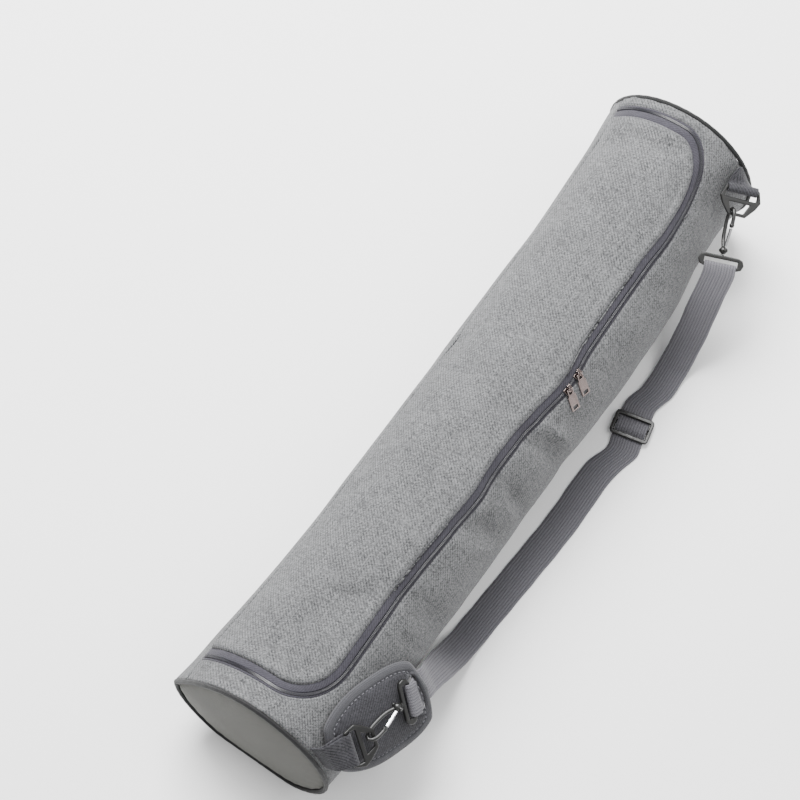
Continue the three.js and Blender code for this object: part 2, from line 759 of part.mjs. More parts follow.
// Strap loop of the hook, hung on a post below the swivel ball
const loopHigh = -swivelSize / 2 - loopPost;
const loopFoot = loopHigh - 2 * loopBar - loopSlot;
const loopBarAt = loopFoot + loopBar / 2;

function loopPiece() {
  const edge = roundedRectangle(slotHalf + loopRail, loopFoot, loopHigh, loopRail);
  const slot = rectangle(slotHalf, loopFoot + loopBar, loopHigh - loopBar);
  const frame = plateGeometry(edge, [slot], loopBar, chamfer);
  const postTop = -swivelSize / 2 - pieceGap;
  const post = new THREE.CylinderGeometry(loopBar / 2, loopBar / 2, postTop - loopHigh + loopBar / 2, 8);
  post.translate(0, (postTop + loopHigh - loopBar / 2) / 2, 0);
  return joined([frame, post]);
}

// Ribbon of webbing along frames that hold its centre, its width direction and its face direction
function ribbonGeometry(frames, wide, thick) {
  const corners = [];
  for (const { centre, side, face } of frames) {
    for (const [across, through] of [[-1, -1], [1, -1], [1, 1], [-1, 1]]) {
      const corner = centre.clone().addScaledVector(side, across * wide / 2);
      corners.push(corner.addScaledVector(face, through * thick / 2));
    }
  }
  const triangles = [];
  for (let span = 0; span < frames.length - 1; span += 1) {
    for (let step = 0; step < 4; step += 1) {
      const [a, b] = [span * 4 + step, span * 4 + (step + 1) % 4];
      if (step === 2) triangles.push([a, b, a + 4], [b, b + 4, a + 4]);
      else triangles.push([a, b, b + 4], [a, b + 4, a + 4]);
    }
  }
  const end = (frames.length - 1) * 4;
  triangles.push([0, 2, 1], [0, 3, 2], [end, end + 1, end + 2], [end, end + 2, end + 3]);
  return closedGeometry(corners, triangles);
}

// Frames along knots of { centre, side }: a smooth line with more frames where it bends, and the
// width direction blended along it
function ribbonFrames(knots) {
  const line = new THREE.CatmullRomCurve3(knots.map((knot) => knot.centre));
  const sides = new THREE.CatmullRomCurve3(knots.map((knot) => knot.side));
  const spans = knots.length - 1;
  const shares = [0];
  for (let span = 0; span < spans; span += 1) {
    const [from, to] = [line.getTangent(span / spans + 1e-4), line.getTangent((span + 1) / spans - 1e-4)];
    const bend = Math.max(from.angleTo(to), knots[span].side.angleTo(knots[span + 1].side) * 1.6);
    const steps = THREE.MathUtils.clamp(Math.ceil(bend / ribbonBend), 1, 4);
    for (let step = 1; step <= steps; step += 1) shares.push((span + step / steps) / spans);
  }
  return shares.map((share) => {
    const tangent = line.getTangent(share);
    const side = sides.getPoint(share).normalize();
    const face = new THREE.Vector3().crossVectors(tangent, side).normalize();
    return { centre: line.getPoint(share), side, face };
  });
}

// Zip sliders with an arch on top, and pulls that hang from the arches down the flank
const sliderBase = coilTop + pieceGap;
const archFoot = sliderBase + sliderHigh;
const pullAxis = archFoot + archWindow / 2;

function sliderFrame(at) {
  const x = mix(-halfLength, halfLength, at);
  const here = { x, a: zipLine(x) };
  const ahead = onSkin({ x: x + 1, a: zipLine(x + 1) }, 0);
  const origin = onSkin(here, 0);
  const down = onSkin({ x, a: here.a + 1 }, 0).sub(origin);
  return pieceFrame(origin, ahead.sub(origin), down);
}

function sliderPiece() {
  const plate = new THREE.BoxGeometry(sliderWide, sliderLong, sliderHigh);
  plate.translate(0, 0, sliderBase + sliderHigh / 2);
  const reach = archHalf + archBar;
  const arch = plateGeometry(
    rectangle(reach, -sliderHigh / 2, archWindow + archBar),
    [rectangle(archHalf, 0, archWindow)],
    archWide,
    0,
  );
  arch.rotateX(Math.PI / 2);
  arch.translate(0, 0, archFoot);
  return joined([plate, arch]);
}

// Frame of a pull: its origin on the hinge line, v along the pull and u along the hinge. The tip
// rests on the cloth.
function pullFrame(at) {
  const slider = sliderFrame(at);
  const x = mix(-halfLength, halfLength, at);
  const spin = THREE.MathUtils.degToRad(pullSpin);
  const reach = linkLong + pullLong;
  const tip = { x: x - reach * Math.sin(spin), a: zipLine(x) + reach * Math.cos(spin) };
  const hinge = pointIn(slider, 0, 0, pullAxis);
  const along = onSkin(tip, pullThick / 2 + pullRest).sub(hinge);
  return pieceFrame(hinge, along, directionIn(slider, -Math.sin(spin), -Math.cos(spin), 0));
}

function pullPiece() {
  const [bar, link] = [pullThick / 2, linkHalf + pullThick];
  const tip = linkLong + pullLong;
  const edge = [
    [-link, -bar], [link, -bar], [link, linkLong], [pullWide / 2, linkLong + link * 0.4],
    [pullWide / 2, tip], [-pullWide / 2, tip], [-pullWide / 2, linkLong + link * 0.4], [-link, linkLong],
  ];
  const eye = rectangle(linkHalf, bar, linkLong - pullThick);
  const hole = rectangle(pullHole.wide / 2, tip - pullThick - pullHole.long, tip - pullThick);
  return plateGeometry(edge, [eye, hole], pullThick, 0);
}

for (const [name, at] of [['top', sliderAt + sliderPitch / bagLength], ['low', sliderAt]]) {
  addFramed(`slider_${name}`, sliderPiece(), nickel, sliderFrame(at));
  addFramed(`pull_${name}`, pullPiece(), nickel, pullFrame(at));
}

// Ring at the top end, held out from the rim on its tab, and the hook clipped into it
const rimTop = plainSkin(tabSpots.top.at, tabSpots.top.angle);
const ringTop = pieceFrame(
  rimTop.clone().add(new THREE.Vector3(...ringTopReach)),
  new THREE.Vector3(...ringTopAlong),
  new THREE.Vector3(...ringTopAcross),
);

// A hook hangs with its bend round the ring's apex bar
function hookFrameOn(ring, end, along, across) {
  const bar = pointIn(ring, hookShift[end], ringTip - ringApexBar / 2, 0);
  const reach = hookTall - hookRod / 2 - hookSlack[end] - ringApexBar / 2;
  return pieceFrame(bar.addScaledVector(along.clone().normalize(), -reach), along, across);
}

const hookTop = hookFrameOn(
  ringTop,
  'top',
  new THREE.Vector3(...hookTopAlong),
  new THREE.Vector3(...hookTopAcross),
);

// Pad on the shoulder of the bag near its bottom end. In its frame u runs across it, away from the
// bag, v runs along it to the strap, and w points out.
const padSeatPoint = plainSkin(padSeat.at, padSeat.angle);
const padUp = plainNormal(padSeat.at, padSeat.angle);
const padAlong = new THREE.Vector3(1, 0, 0);
const padDown = new THREE.Vector3().crossVectors(padAlong, padUp).normalize();
padAlong.applyAxisAngle(padUp, THREE.MathUtils.degToRad(-padSpin));
padSeatPoint.addScaledVector(padDown, padOut).addScaledVector(padUp, padThick / 2 + padLift);
const pad = pieceFrame(padSeatPoint, padAlong, padDown);

const padTopFace = padThick / 2;
const ringLow = pieceFrame(
  pointIn(pad, ringLowSpot.u, ringLowSpot.v, padTopFace + pieceGap + ringThick / 2 + ringLowSpot.rise),
  directionIn(pad, ...ringLowAlong),
  directionIn(pad, ...ringLowAcross),
);
const hookLow = hookFrameOn(
  ringLow,
  'low',
  directionIn(pad, ...hookLowAlong),
  directionIn(pad, ...hookLowAcross),
);

// The low loop swings on its swivel, to where the strap pulls it
const loopLow = pieceFrame(
  pointIn(hookLow, 0, 0, 0),
  directionIn(pad, ...loopLowAlong),
  directionIn(pad, ...loopLowAcross),
);

for (const [name, ring, hook, roll, loop] of [
  ['top', ringTop, hookTop, rollTop, hookTop],
  ['low', ringLow, hookLow, rollLow, loopLow],
]) {
  const rolled = hook.clone().multiply(new THREE.Matrix4().makeRotationY(THREE.MathUtils.degToRad(roll)));
  addFramed(`ring_${name}`, ringPiece(), blackPlastic, ring);
  addFramed(`hook_${name}`, hookPiece(), blackPlastic, rolled);
  addFramed(`gate_${name}`, gatePiece(), nickel, rolled);
  addFramed(`hook_loop_${name}`, loopPiece(), blackPlastic, loop);
}

// Knots half round a bar that lies across a frame at a distance along it, from a start angle
function wrapKnots(frame, barAt, radius, start) {
  return [0, 45, 90, 135, 180].map((turn) => {
    const radians = THREE.MathUtils.degToRad(start + turn);
    const [v, w] = [radius * Math.cos(radians), radius * Math.sin(radians)];
    return { centre: pointIn(frame, 0, barAt + v, w), side: directionIn(frame, 1, 0, 0) };
  });
}

// Knot a little way out from the start or end of such a wrap, on the straight
function leadKnot(frame, barAt, radius, away, face) {
  const radians = THREE.MathUtils.degToRad(away);
  const v = tabLead * Math.cos(radians) - face * radius * Math.sin(radians);
  const w = tabLead * Math.sin(radians) + face * radius * Math.cos(radians);
  return { centre: pointIn(frame, 0, barAt + v, w), side: directionIn(frame, 1, 0, 0) };
}

// Tab: webbing doubled round the ring's outer bar, with both layers sewn to the rim
function tabPiece(end, ring) {
  const { at, angle, rises } = tabSpots[end];
  const outward = at === 0 ? 1 : -1;
  const rimSide = plainSkin(at, angle + 10).sub(plainSkin(at, angle - 10)).normalize();
  const rimFace = plainNormal(at, angle);
  const root = plainSkin(at, angle);
  root.x += outward * tabRootInset;
  const barAt = ringBack + ringBar / 2;
  const bar = pointIn(ring, 0, barAt, 0);
  const barSide = directionIn(ring, 1, 0, 0);
  const flip = barSide.dot(rimSide) < 0 ? -1 : 1;
  rimSide.multiplyScalar(flip);
  const rootIn = root.clone().applyMatrix4(ring.clone().invert());
  const turn = Math.atan2(rootIn.z, rootIn.y - barAt);
  const away = THREE.MathUtils.radToDeg(turn);
  const barFace = directionIn(ring, 0, Math.sin(turn), -Math.cos(turn));
  const radius = Math.hypot(ringBar, ringThick) / 2 + pieceGap + webThick / 2;
  const base = pieceGap + webThick / 2;
  const between = (layer) => rises.map(({ share, high }) => {
    const height = mix(base + layerStep / 2, 0, share) + high + layer * mix(layerStep / 2, radius, share);
    const face = rimFace.clone().lerp(barFace, share).normalize();
    const centre = root.clone().lerp(bar, share).addScaledVector(face, height);
    return { centre, side: rimSide.clone().lerp(barSide, share) };
  });
  const rootKnot = (height) => ({ centre: root.clone().addScaledVector(rimFace, height), side: rimSide });
  const knots = [
    rootKnot(base),
    ...between(-1),
    leadKnot(ring, barAt, radius, away, 1),
    ...wrapKnots(ring, barAt, radius, away + 90),
    leadKnot(ring, barAt, radius, away, -1),
    ...between(1).reverse(),
    rootKnot(base + layerStep),
  ];
  return ribbonGeometry(ribbonFrames(knots), webWidth, webThick);
}

addPiece('tab_top', tabPiece('top', ringTop), webbing);
addPiece('tab_low', tabPiece('low', ringLow), webbing);

// Shoulder pad: a bowed oval cushion with a slit that the strap comes up through
const slitEdges = { left: slitLong / 2 - slitShift, right: slitLong / 2 + slitShift };

function onPad(u, v, lift) {
  const past = Math.max(0, -v - padBow.droopFrom) / (padLong / 2 - padBow.droopFrom);
  const bow = padBow.across * (u / padWide * 2) ** 2 + padBow.along * (v / padLong * 2) ** 2;
  return pointIn(pad, u, v, lift - bow - padBow.droop * past * past);
}

function padHalfWidth(v) {
  const share = Math.abs(v) / padLong * 2;
  const blunt = v > 0 ? padBlunt.top : padBlunt.low;
  return padWide / 2 * (1 - padEndCut * share ** blunt) ** (1 / blunt);
}

function shoulderPad() {
  const points = [];
  const quads = [];
  const columns = padColumns.length;
  padRows.forEach((share, row) => {
    const v = share * padLong / 2;
    const reach = padHalfWidth(v);
    padColumns.forEach(({ side, slit, out }, column) => {
      const inner = Math.min(slitEdges[side < 0 ? 'left' : 'right'], reach * 0.82) * slit;
      const u = side * mix(inner, reach, out);
      const outline = row === 0 || row === padRows.length - 1 || out === 1;
      const bySlit = (row === slitRow || row === slitRow + 1) && slit === 1 && out === 0;
      points.push({ u, v, full: outline || bySlit ? padEdgeShare : 1 });
      const open = row === slitRow && column >= slitColumns.from && column < slitColumns.to;
      if (row < padRows.length - 1 && column < columns - 1 && !open) {
        const here = row * columns + column;
        quads.push([here, here + 1, here + columns + 1, here + columns]);
      }
    });
  });
  const place = ({ u, v, full }, lift) => onPad(u, v, lift * full);
  return sheetGeometry(points, quads, place, [padThick / 2, -padThick / 2]);
}

addPiece('shoulder_pad', shoulderPad(), padCloth);

// Tri-glide buckle on the floor part of the strap: two slots and a lower middle bar
const flatSide = (turn) => {
  const radians = THREE.MathUtils.degToRad(turn);
  return new THREE.Vector3(Math.sin(radians), -Math.cos(radians), 0);
};
const tablePoint = ({ along, out, high }) => (
  new THREE.Vector3(along * bagLength, -out * bagWidth, high * bagHeight)
);
const floorLift = webThick / 2;
const buckleBase = floorLift + layerStep + webThick / 2 + pieceGap;
const buckleSide = flatSide(buckleSpot.turn);
const buckleAlong = new THREE.Vector3(buckleSide.y, -buckleSide.x, 0);
const buckle = pieceFrame(tablePoint(buckleSpot), buckleAlong, buckleSide.clone().negate());

function bucklePiece() {
  const edge = roundedRectangle(slotHalf + buckleRail, -buckleLong / 2, buckleLong / 2, buckleRail);
  const inside = rectangle(slotHalf, buckleBar - buckleLong / 2, buckleLong / 2 - buckleBar);
  const frame = plateGeometry(edge, [inside], buckleThick, chamfer);
  const bar = new THREE.BoxGeometry(2 * slotHalf + buckleRail, buckleBar, buckleMidThick);
  bar.translate(0, 0, (buckleMidThick - buckleThick) / 2);
  return joined([frame, bar]).translate(0, 0, buckleBase + buckleThick / 2);
}

addFramed('strap_buckle', bucklePiece(), blackPlastic, buckle);

// Strap: doubled from the buckle to the top hook's loop, then woven through the buckle and single
// along the floor, up through the pad's slit and round the low hook's loop
const wrapRadius = loopBar * 0.62 + pieceGap + webThick / 2;
const wrapLoop = (loop) => wrapKnots(loop, loopBarAt, wrapRadius, -90);

// Knot a little way below a loop's bar, on either face of the mid path
function loopKnot(loop, face) {
  const centre = pointIn(loop, 0, loopBarAt - wrapStart, face * wrapRadius * 0.55);
  return { centre, side: directionIn(loop, 1, 0, 0) };
}

function layerKnots(step) {
  const offset = step * layerStep / 2;
  return strapFall.map((row, index) => {
    const before = tablePoint(strapFall[Math.max(index - 1, 0)]);
    const after = tablePoint(strapFall[Math.min(index + 1, strapFall.length - 1)]);
    const side = flatSide(row.turn);
    const up = new THREE.Vector3().crossVectors(side, before.sub(after)).normalize();
    const centre = tablePoint(row).addScaledVector(up, offset);
    centre.z += floorLift + layerStep / 2;
    return { centre, side };
  });
}

function buckleKnots() {
  return buckleWeave.map(({ along, high }) => {
    const centre = pointIn(buckle, 0, along * buckleLong, floorLift + high);
    return { centre, side: buckleSide };
  });
}

function strapPiece() {
  const knots = [
    { centre: pointIn(buckle, 0, 0, floorLift), side: buckleSide },
    { centre: pointIn(buckle, 0, -buckleLong, floorLift), side: buckleSide },
    ...layerKnots(-1).reverse(),
    loopKnot(hookTop, -1),
    ...wrapLoop(hookTop),
    loopKnot(hookTop, 1),
    ...layerKnots(1),
    ...buckleKnots(),
  ];
  for (const row of strapRun) {
    const centre = tablePoint(row);
    centre.z += floorLift;
    const side = flatSide(row.turn).lerp(directionIn(pad, 1, 0, 0), row.pad);
    knots.push({ centre, side });
  }
  for (const { along, high } of slitPath) {
    const centre = onPad(slitShift, slitAt + along, high);
    knots.push({ centre, side: directionIn(pad, 1, 0, 0) });
  }
  knots.push(...wrapLoop(loopLow).reverse(), loopKnot(loopLow, -1));
  return ribbonGeometry(ribbonFrames(knots), webWidth, webThick);
}

addPiece('strap', strapPiece(), webbing);

export default bag;
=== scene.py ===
import math

import bmesh
import bpy
import numpy as np
from mathutils import Matrix, Vector


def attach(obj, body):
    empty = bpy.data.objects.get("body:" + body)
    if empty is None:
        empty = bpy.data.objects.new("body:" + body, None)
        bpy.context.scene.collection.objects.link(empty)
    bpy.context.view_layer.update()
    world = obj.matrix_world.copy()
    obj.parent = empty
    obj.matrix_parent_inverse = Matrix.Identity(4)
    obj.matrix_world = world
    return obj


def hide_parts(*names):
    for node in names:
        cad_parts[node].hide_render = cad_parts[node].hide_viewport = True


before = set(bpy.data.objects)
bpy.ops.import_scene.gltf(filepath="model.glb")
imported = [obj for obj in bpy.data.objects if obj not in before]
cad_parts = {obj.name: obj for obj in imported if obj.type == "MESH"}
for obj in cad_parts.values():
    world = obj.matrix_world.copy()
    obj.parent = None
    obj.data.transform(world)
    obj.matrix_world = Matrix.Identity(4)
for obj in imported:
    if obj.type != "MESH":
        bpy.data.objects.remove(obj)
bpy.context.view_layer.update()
MM = 0.001

# Camera
azimuth, elevation, distance = math.radians(-54.9), math.radians(69.5), 2.553
target = Vector((0.010, 0.095, 0))
back = Vector((
    math.sin(azimuth) * math.cos(elevation),
    -math.cos(azimuth) * math.cos(elevation),
    math.sin(elevation),
))
right = (-back).cross(Vector((0, 0, 1))).normalized()
upward = right.cross(-back)
camera_data = bpy.data.cameras.new("camera")
camera_data.lens = 121.1
camera_data.sensor_width = 36
camera_data.clip_end = 20
camera = bpy.data.objects.new("camera", camera_data)
bpy.context.scene.collection.objects.link(camera)
turned = Matrix((right, upward, back)).transposed().to_4x4()
camera.matrix_world = Matrix.Translation(target + back * distance) @ turned
bpy.context.scene.camera = camera


# Materials
class Shader:
    """A material and short ways to add and join its nodes."""

    def __init__(self, name, roughness, metallic=0.0, sheen=0.0, specular=0.5):
        self.material = bpy.data.materials.new(name)
        self.material.use_nodes = True
        self.nodes = self.material.node_tree.nodes
        self.links = self.material.node_tree.links
        self.surface = self.nodes["Principled BSDF"]
        self.surface.inputs["Roughness"].default_value = roughness
        self.surface.inputs["Metallic"].default_value = metallic
        self.surface.inputs["Sheen Weight"].default_value = sheen
        self.surface.inputs["Specular IOR Level"].default_value = specular

    def put(self, value, socket):
        if isinstance(value, bpy.types.NodeSocket):
            self.links.new(value, socket)
        else:
            socket.default_value = value

    def calc(self, operation, first, second=0.0):
        node = self.nodes.new("ShaderNodeMath")
        node.operation = operation
        self.put(first, node.inputs[0])
        self.put(second, node.inputs[1])
        return node.outputs[0]

    def flat(self):
        """The mesh's own flat coordinates, in millimetres."""
        where = self.nodes.new("ShaderNodeUVMap")
        where.uv_map = "flat"
        split = self.nodes.new("ShaderNodeSeparateXYZ")
        self.links.new(where.outputs[0], split.inputs[0])
        return [self.calc("MULTIPLY", split.outputs[axis], 1000.0) for axis in (0, 1)]

    def space(self, scale=(1.0, 1.0, 1.0)):
        where = self.nodes.new("ShaderNodeTexCoord")
        stretch = self.nodes.new("ShaderNodeMapping")
        stretch.inputs["Scale"].default_value = scale
        self.links.new(where.outputs["Object"], stretch.inputs[0])
        return stretch.outputs[0]

    def noise(self, vector, scale, detail=3.0):
        node = self.nodes.new("ShaderNodeTexNoise")
        self.links.new(vector, node.inputs["Vector"])
        node.inputs["Scale"].default_value = scale
        node.inputs["Detail"].default_value = detail
        return node.outputs["Fac"]

    def both(self, u, v):
        node = self.nodes.new("ShaderNodeCombineXYZ")
        self.put(u, node.inputs[0])
        self.put(v, node.inputs[1])
        return node.outputs[0]

    def colour(self, share, dark, light):
        node = self.nodes.new("ShaderNodeMix")
        node.data_type = "RGBA"
        self.put(share, node.inputs[0])
        node.inputs[6].default_value = (*dark, 1)
        node.inputs[7].default_value = (*light, 1)
        self.links.new(node.outputs[2], self.surface.inputs["Base Color"])

    def bump(self, height, depth_mm, strength=1.0):
        node = self.nodes.new("ShaderNodeBump")
        node.inputs["Distance"].default_value = depth_mm * MM
        node.inputs["Strength"].default_value = strength
        self.links.new(height, node.inputs["Height"])
        self.links.new(node.outputs[0], self.surface.inputs["Normal"])

    def rough(self, share, low, high):
        spread = self.calc("MULTIPLY", share, high - low)
        self.links.new(self.calc("ADD", spread, low), self.surface.inputs["Roughness"])


def linear(red, green, blue, share=0.3):
    """Scene colour of a screen colour from 0 to 255, darkened by a share to suit the strong light."""
    values = np.array([red, green, blue]) / 255
    colour = np.where(values < 0.04045, values / 12.92, ((values + 0.055) / 1.055) ** 2.4)
    return tuple(float(x) for x in colour * share)


def woven(name, dark, light, yarn, depth, heather=0.5, roughness=0.85, sheen=0.1):
    """Twill of warp and weft yarns on the flat coordinates, with slubs along both, and painted shade in the dips
    between the yarns.
    """
    look = Shader(name, roughness, sheen=sheen, specular=0.25)
    u, v = look.flat()
    cu, cv = look.calc("DIVIDE", u, yarn), look.calc("DIVIDE", v, yarn)
    row, column = look.calc("FLOOR", cu), look.calc("FLOOR", cv)
    shifted = look.calc("ADD", row, column)
    over = look.calc("LESS_THAN", look.calc("FRACT", look.calc("MULTIPLY", shifted, 0.25)), 0.5)
    under = look.calc("SUBTRACT", 1.0, over)

    def crown(position):
        side = look.calc("SUBTRACT", look.calc("MULTIPLY", look.calc("FRACT", position), 2.0), 1.0)
        return look.calc("SUBTRACT", 1.0, look.calc("MULTIPLY", side, side))

    warp = look.calc("MULTIPLY", crown(cu), over)
    weft = look.calc("MULTIPLY", crown(cv), under)
    height = look.calc("ADD", warp, look.calc("MULTIPLY", weft, 0.8))
    along = look.noise(look.both(look.calc("MULTIPLY", cu, 0.9), look.calc("MULTIPLY", cv, 0.06)), 1.0)
    across = look.noise(look.both(look.calc("MULTIPLY", cu, 0.06), look.calc("MULTIPLY", cv, 0.9)), 1.0)
    slub = look.calc("ADD", look.calc("MULTIPLY", along, over), look.calc("MULTIPLY", across, under))
    cloud = look.noise(look.both(look.calc("MULTIPLY", u, 0.02), look.calc("MULTIPLY", v, 0.02)), 1.0, 2.0)
    fleck = look.noise(look.both(look.calc("MULTIPLY", look.calc("SUBTRACT", u, v), 0.5),
                                 look.calc("MULTIPLY", look.calc("ADD", u, v), 0.17)), 1.0, 4.0)
    # Colour follows the yarn height: painted shade in the dips between yarns. The slubs, flecks, cloud and
    # lighter warp floats added below are the cloth's own colour.
    tone_and_gap_shade = look.calc("MULTIPLY", look.calc("SUBTRACT", height, 0.35), 0.5)
    for source, weight in ((slub, heather), (fleck, 0.7 * heather), (cloud, 0.3)):
        tone_and_gap_shade = look.calc("ADD", tone_and_gap_shade, look.calc("MULTIPLY", look.calc("SUBTRACT", source, 0.5), weight))
    tone_and_gap_shade = look.calc("ADD", tone_and_gap_shade, look.calc("MULTIPLY", over, 0.2))
    look.colour(look.calc("ADD", tone_and_gap_shade, 0.2), dark, light)
    look.bump(height, depth, 0.8)
    look.rough(slub, roughness - 0.08, roughness + 0.08)
    return look.material


def ribbed(name, dark, light, rib, pick, depth, roughness=0.75):
    """Webbing: ribs along the strap, with yarns that slant one way and then the other, and painted shade in the
    grooves between them.
    """
    look = Shader(name, roughness, sheen=0.08, specular=0.3)
    u, v = look.flat()
    across = look.calc("DIVIDE", u, rib)
    inside = look.calc("FRACT", across)
    flip = look.calc("LESS_THAN", look.calc("FRACT", look.calc("MULTIPLY", across, 0.5)), 0.5)
    slant = look.calc("MULTIPLY", look.calc("SUBTRACT", look.calc("MULTIPLY", flip, 2.0), 1.0), inside)
    phase = look.calc("ADD", look.calc("DIVIDE", v, pick), look.calc("MULTIPLY", slant, 1.3))
    wave = look.calc("SINE", look.calc("MULTIPLY", phase, 2 * math.pi))
    yarn = look.calc("ADD", look.calc("MULTIPLY", wave, 0.5), 0.5)
    side = look.calc("SUBTRACT", look.calc("MULTIPLY", inside, 2.0), 1.0)
    crown = look.calc("SUBTRACT", 1.0, look.calc("POWER", look.calc("ABSOLUTE", side), 2.5))
    height = look.calc("ADD", crown, look.calc("MULTIPLY", yarn, 0.7))
    fleck = look.noise(look.both(look.calc("MULTIPLY", u, 1.1), look.calc("MULTIPLY", v, 0.5)), 1.0)
    # Colour follows the rib and yarn height: painted shade in the grooves between ribs and between the slanting
    # yarns. The flecks are the webbing's own colour.
    tone_and_gap_shade = look.calc("ADD", look.calc("MULTIPLY", crown, 0.35), look.calc("MULTIPLY", yarn, 0.3))
    look.colour(look.calc("ADD", tone_and_gap_shade, look.calc("MULTIPLY", fleck, 0.35)), dark, light)
    look.bump(height, depth, 0.9)
    return look.material


def moulded(name, dark, light, roughness, grain=0.02):
    """Hard plastic with a faint grain and rubbed spots."""
    look = Shader(name, roughness, specular=0.5)
    worn = look.noise(look.space(), 180.0)
    look.colour(worn, dark, light)
    look.rough(look.noise(look.space(), 420.0), roughness - 0.1, roughness + 0.15)
    look.bump(look.noise(look.space(), 2600.0), grain)
    return look.material


def plated(name, dark, light, roughness):
    """Plated metal with fine rubbing marks."""
    look = Shader(name, roughness, metallic=1.0)
    look.colour(look.noise(look.space(), 300.0), dark, light)
    look.rough(look.noise(look.space((1, 1, 6)), 900.0), roughness - 0.08, roughness + 0.16)
    look.bump(look.noise(look.space(), 1500.0), 0.02)
    return look.material


cloth = woven("cloth", linear(86, 87, 89), linear(204, 205, 207), 0.9, 0.26, 2.0)
disc_cloth = woven("disc_cloth", linear(90, 90, 83), linear(150, 150, 140), 0.8, 0.12, 0.8, 0.7)
tape_cloth = woven("tape_cloth", linear(52, 50, 59), linear(124, 121, 135), 0.7, 0.14, 0.8, 0.8)
pad_cloth = woven("pad_cloth", linear(36, 36, 41), linear(118, 117, 125), 0.8, 0.26, 1.3)
pad_rim = ribbed("pad_rim", linear(42, 42, 46), linear(134, 134, 141), 1.3, 2.2, 0.4)
webbing = ribbed("webbing", linear(64, 63, 70), linear(192, 190, 199), 2.6, 1.7, 0.45)
tab_webbing = woven("tab_webbing", linear(32, 32, 37), linear(126, 125, 133), 0.9, 0.3, 1.5)
piping_cloth = woven("piping_cloth", linear(14, 14, 15), linear(50, 50, 52), 0.6, 0.14, 0.5, 0.6)
coil_plastic = moulded("coil_plastic", linear(30, 29, 36), linear(74, 72, 86), 0.32)
black_plastic = moulded("black_plastic", linear(22, 22, 22), linear(46, 46, 44), 0.34)
nickel = plated("nickel", linear(150, 134, 131, 0.42), linear(226, 208, 203, 0.42), 0.14)
gate_metal = plated("gate_metal", linear(206, 206, 208, 0.7), linear(240, 240, 242, 0.7), 0.16)
pad_thread = moulded("pad_thread", linear(150, 150, 160), linear(200, 200, 208), 0.7, 0.06)
thread = moulded("thread", linear(120, 120, 128), linear(176, 176, 184), 0.7, 0.06)


def new_piece(name, corners, faces, flat=None, looks=(), face_looks=None, body="bag"):
    """A smooth mesh object from millimetres, riding on a body."""
    mesh = bpy.data.meshes.new(name)
    used = np.unique(np.concatenate([np.asarray(face) for face in faces]))
    place = np.full(len(corners), -1)
    place[used] = np.arange(len(used))
    mesh.from_pydata((corners[used] * MM).tolist(), [], [[int(place[i]) for i in face] for face in faces])
    if flat is not None:
        layer = mesh.uv_layers.new(name="flat")
        index = np.empty(len(mesh.loops), dtype=np.int64)
        mesh.loops.foreach_get("vertex_index", index)
        layer.uv.foreach_set("vector", (flat[used][index] * MM).astype(np.float32).ravel())
    for look in looks:
        mesh.materials.append(look)
    if face_looks is not None:
        mesh.polygons.foreach_set("material_index", np.asarray(face_looks, dtype=np.int32))
    mesh.polygons.foreach_set("use_smooth", np.ones(len(mesh.polygons), dtype=bool))
    mesh.update()
    piece = bpy.data.objects.new(name, mesh)
    bpy.context.scene.collection.objects.link(piece)
    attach(piece, body)
    return piece


def outward(piece):
    """Turns the faces of a closed piece to point out."""
    shape = bmesh.new()
    shape.from_mesh(piece.data)
    bmesh.ops.recalc_face_normals(shape, faces=shape.faces)
    shape.to_mesh(piece.data)
    shape.free()


def thicken(piece, thick_mm):
    wall = piece.modifiers.new("wall", "SOLIDIFY")
    wall.thickness = thick_mm * MM
    wall.offset = -1
    wall.use_rim = True


# Shape of the bag, in millimetres, as in the part
length, width, height = 680.0, 153.0, 145.0
half_length, half_width = length / 2, width / 2
mm_per_degree = math.radians(half_width)
piece_gap, coil_width, tape_on_flap, tape_on_body = 0.3, 2.6, 6.5, 1.5
piping_radius, piping_proud, piping_fuller = 2.0, 0.9, 0.3
disc_wall, disc_bulge, cloth_thick, tape_thick = 2.0, 7.0, 1.6, 0.8
hinge_angle, inset_top, inset_low = -62.0, 12.0, 25.0
# Each end of the zip: its x, the way in, and its corner's reach along and across
corners_of = {
    "low": (-half_length + inset_low, 1, 52.0, 45.0),
    "top": (half_length - inset_top, -1, 70.0, 52.0),
}
section_rows = np.array([
    # at, left, right, high, pinch, foot, head
    (0, 1.18, 0.98, 1.01, 1.9, -0.042, 0.035), (0.05, 1.14, 1.01, 0.985, 1.35, -0.036, 0.03),
    (0.12, 1.07, 1.02, 0.98, 1.1, -0.02, 0.018), (0.25, 0.99, 1.0, 0.993, 1, 0, 0),
    (0.4, 0.98, 1.013, 1.0, 1, 0, 0), (0.5, 0.967, 1.0, 1.0, 1, 0, 0),
    (0.65, 0.974, 1.039, 0.993, 1, 0, 0), (0.8, 0.974, 1.02, 0.993, 1, 0, 0.012),
    (0.88, 1.007, 0.915, 1.007, 1, 0, 0.03), (0.95, 1.046, 0.915, 1.02, 1, 0, 0.052),
    (1, 1.098, 0.954, 1.02, 1, 0, 0.062),
])
zip_rows = np.array([
    (0, 31), (0.27, 31), (0.4, 35), (0.46, 33.4), (0.54, 35.8),
    (0.6, 39), (0.66, 35), (0.8, 34), (0.86, 37.8), (1, 38),
])
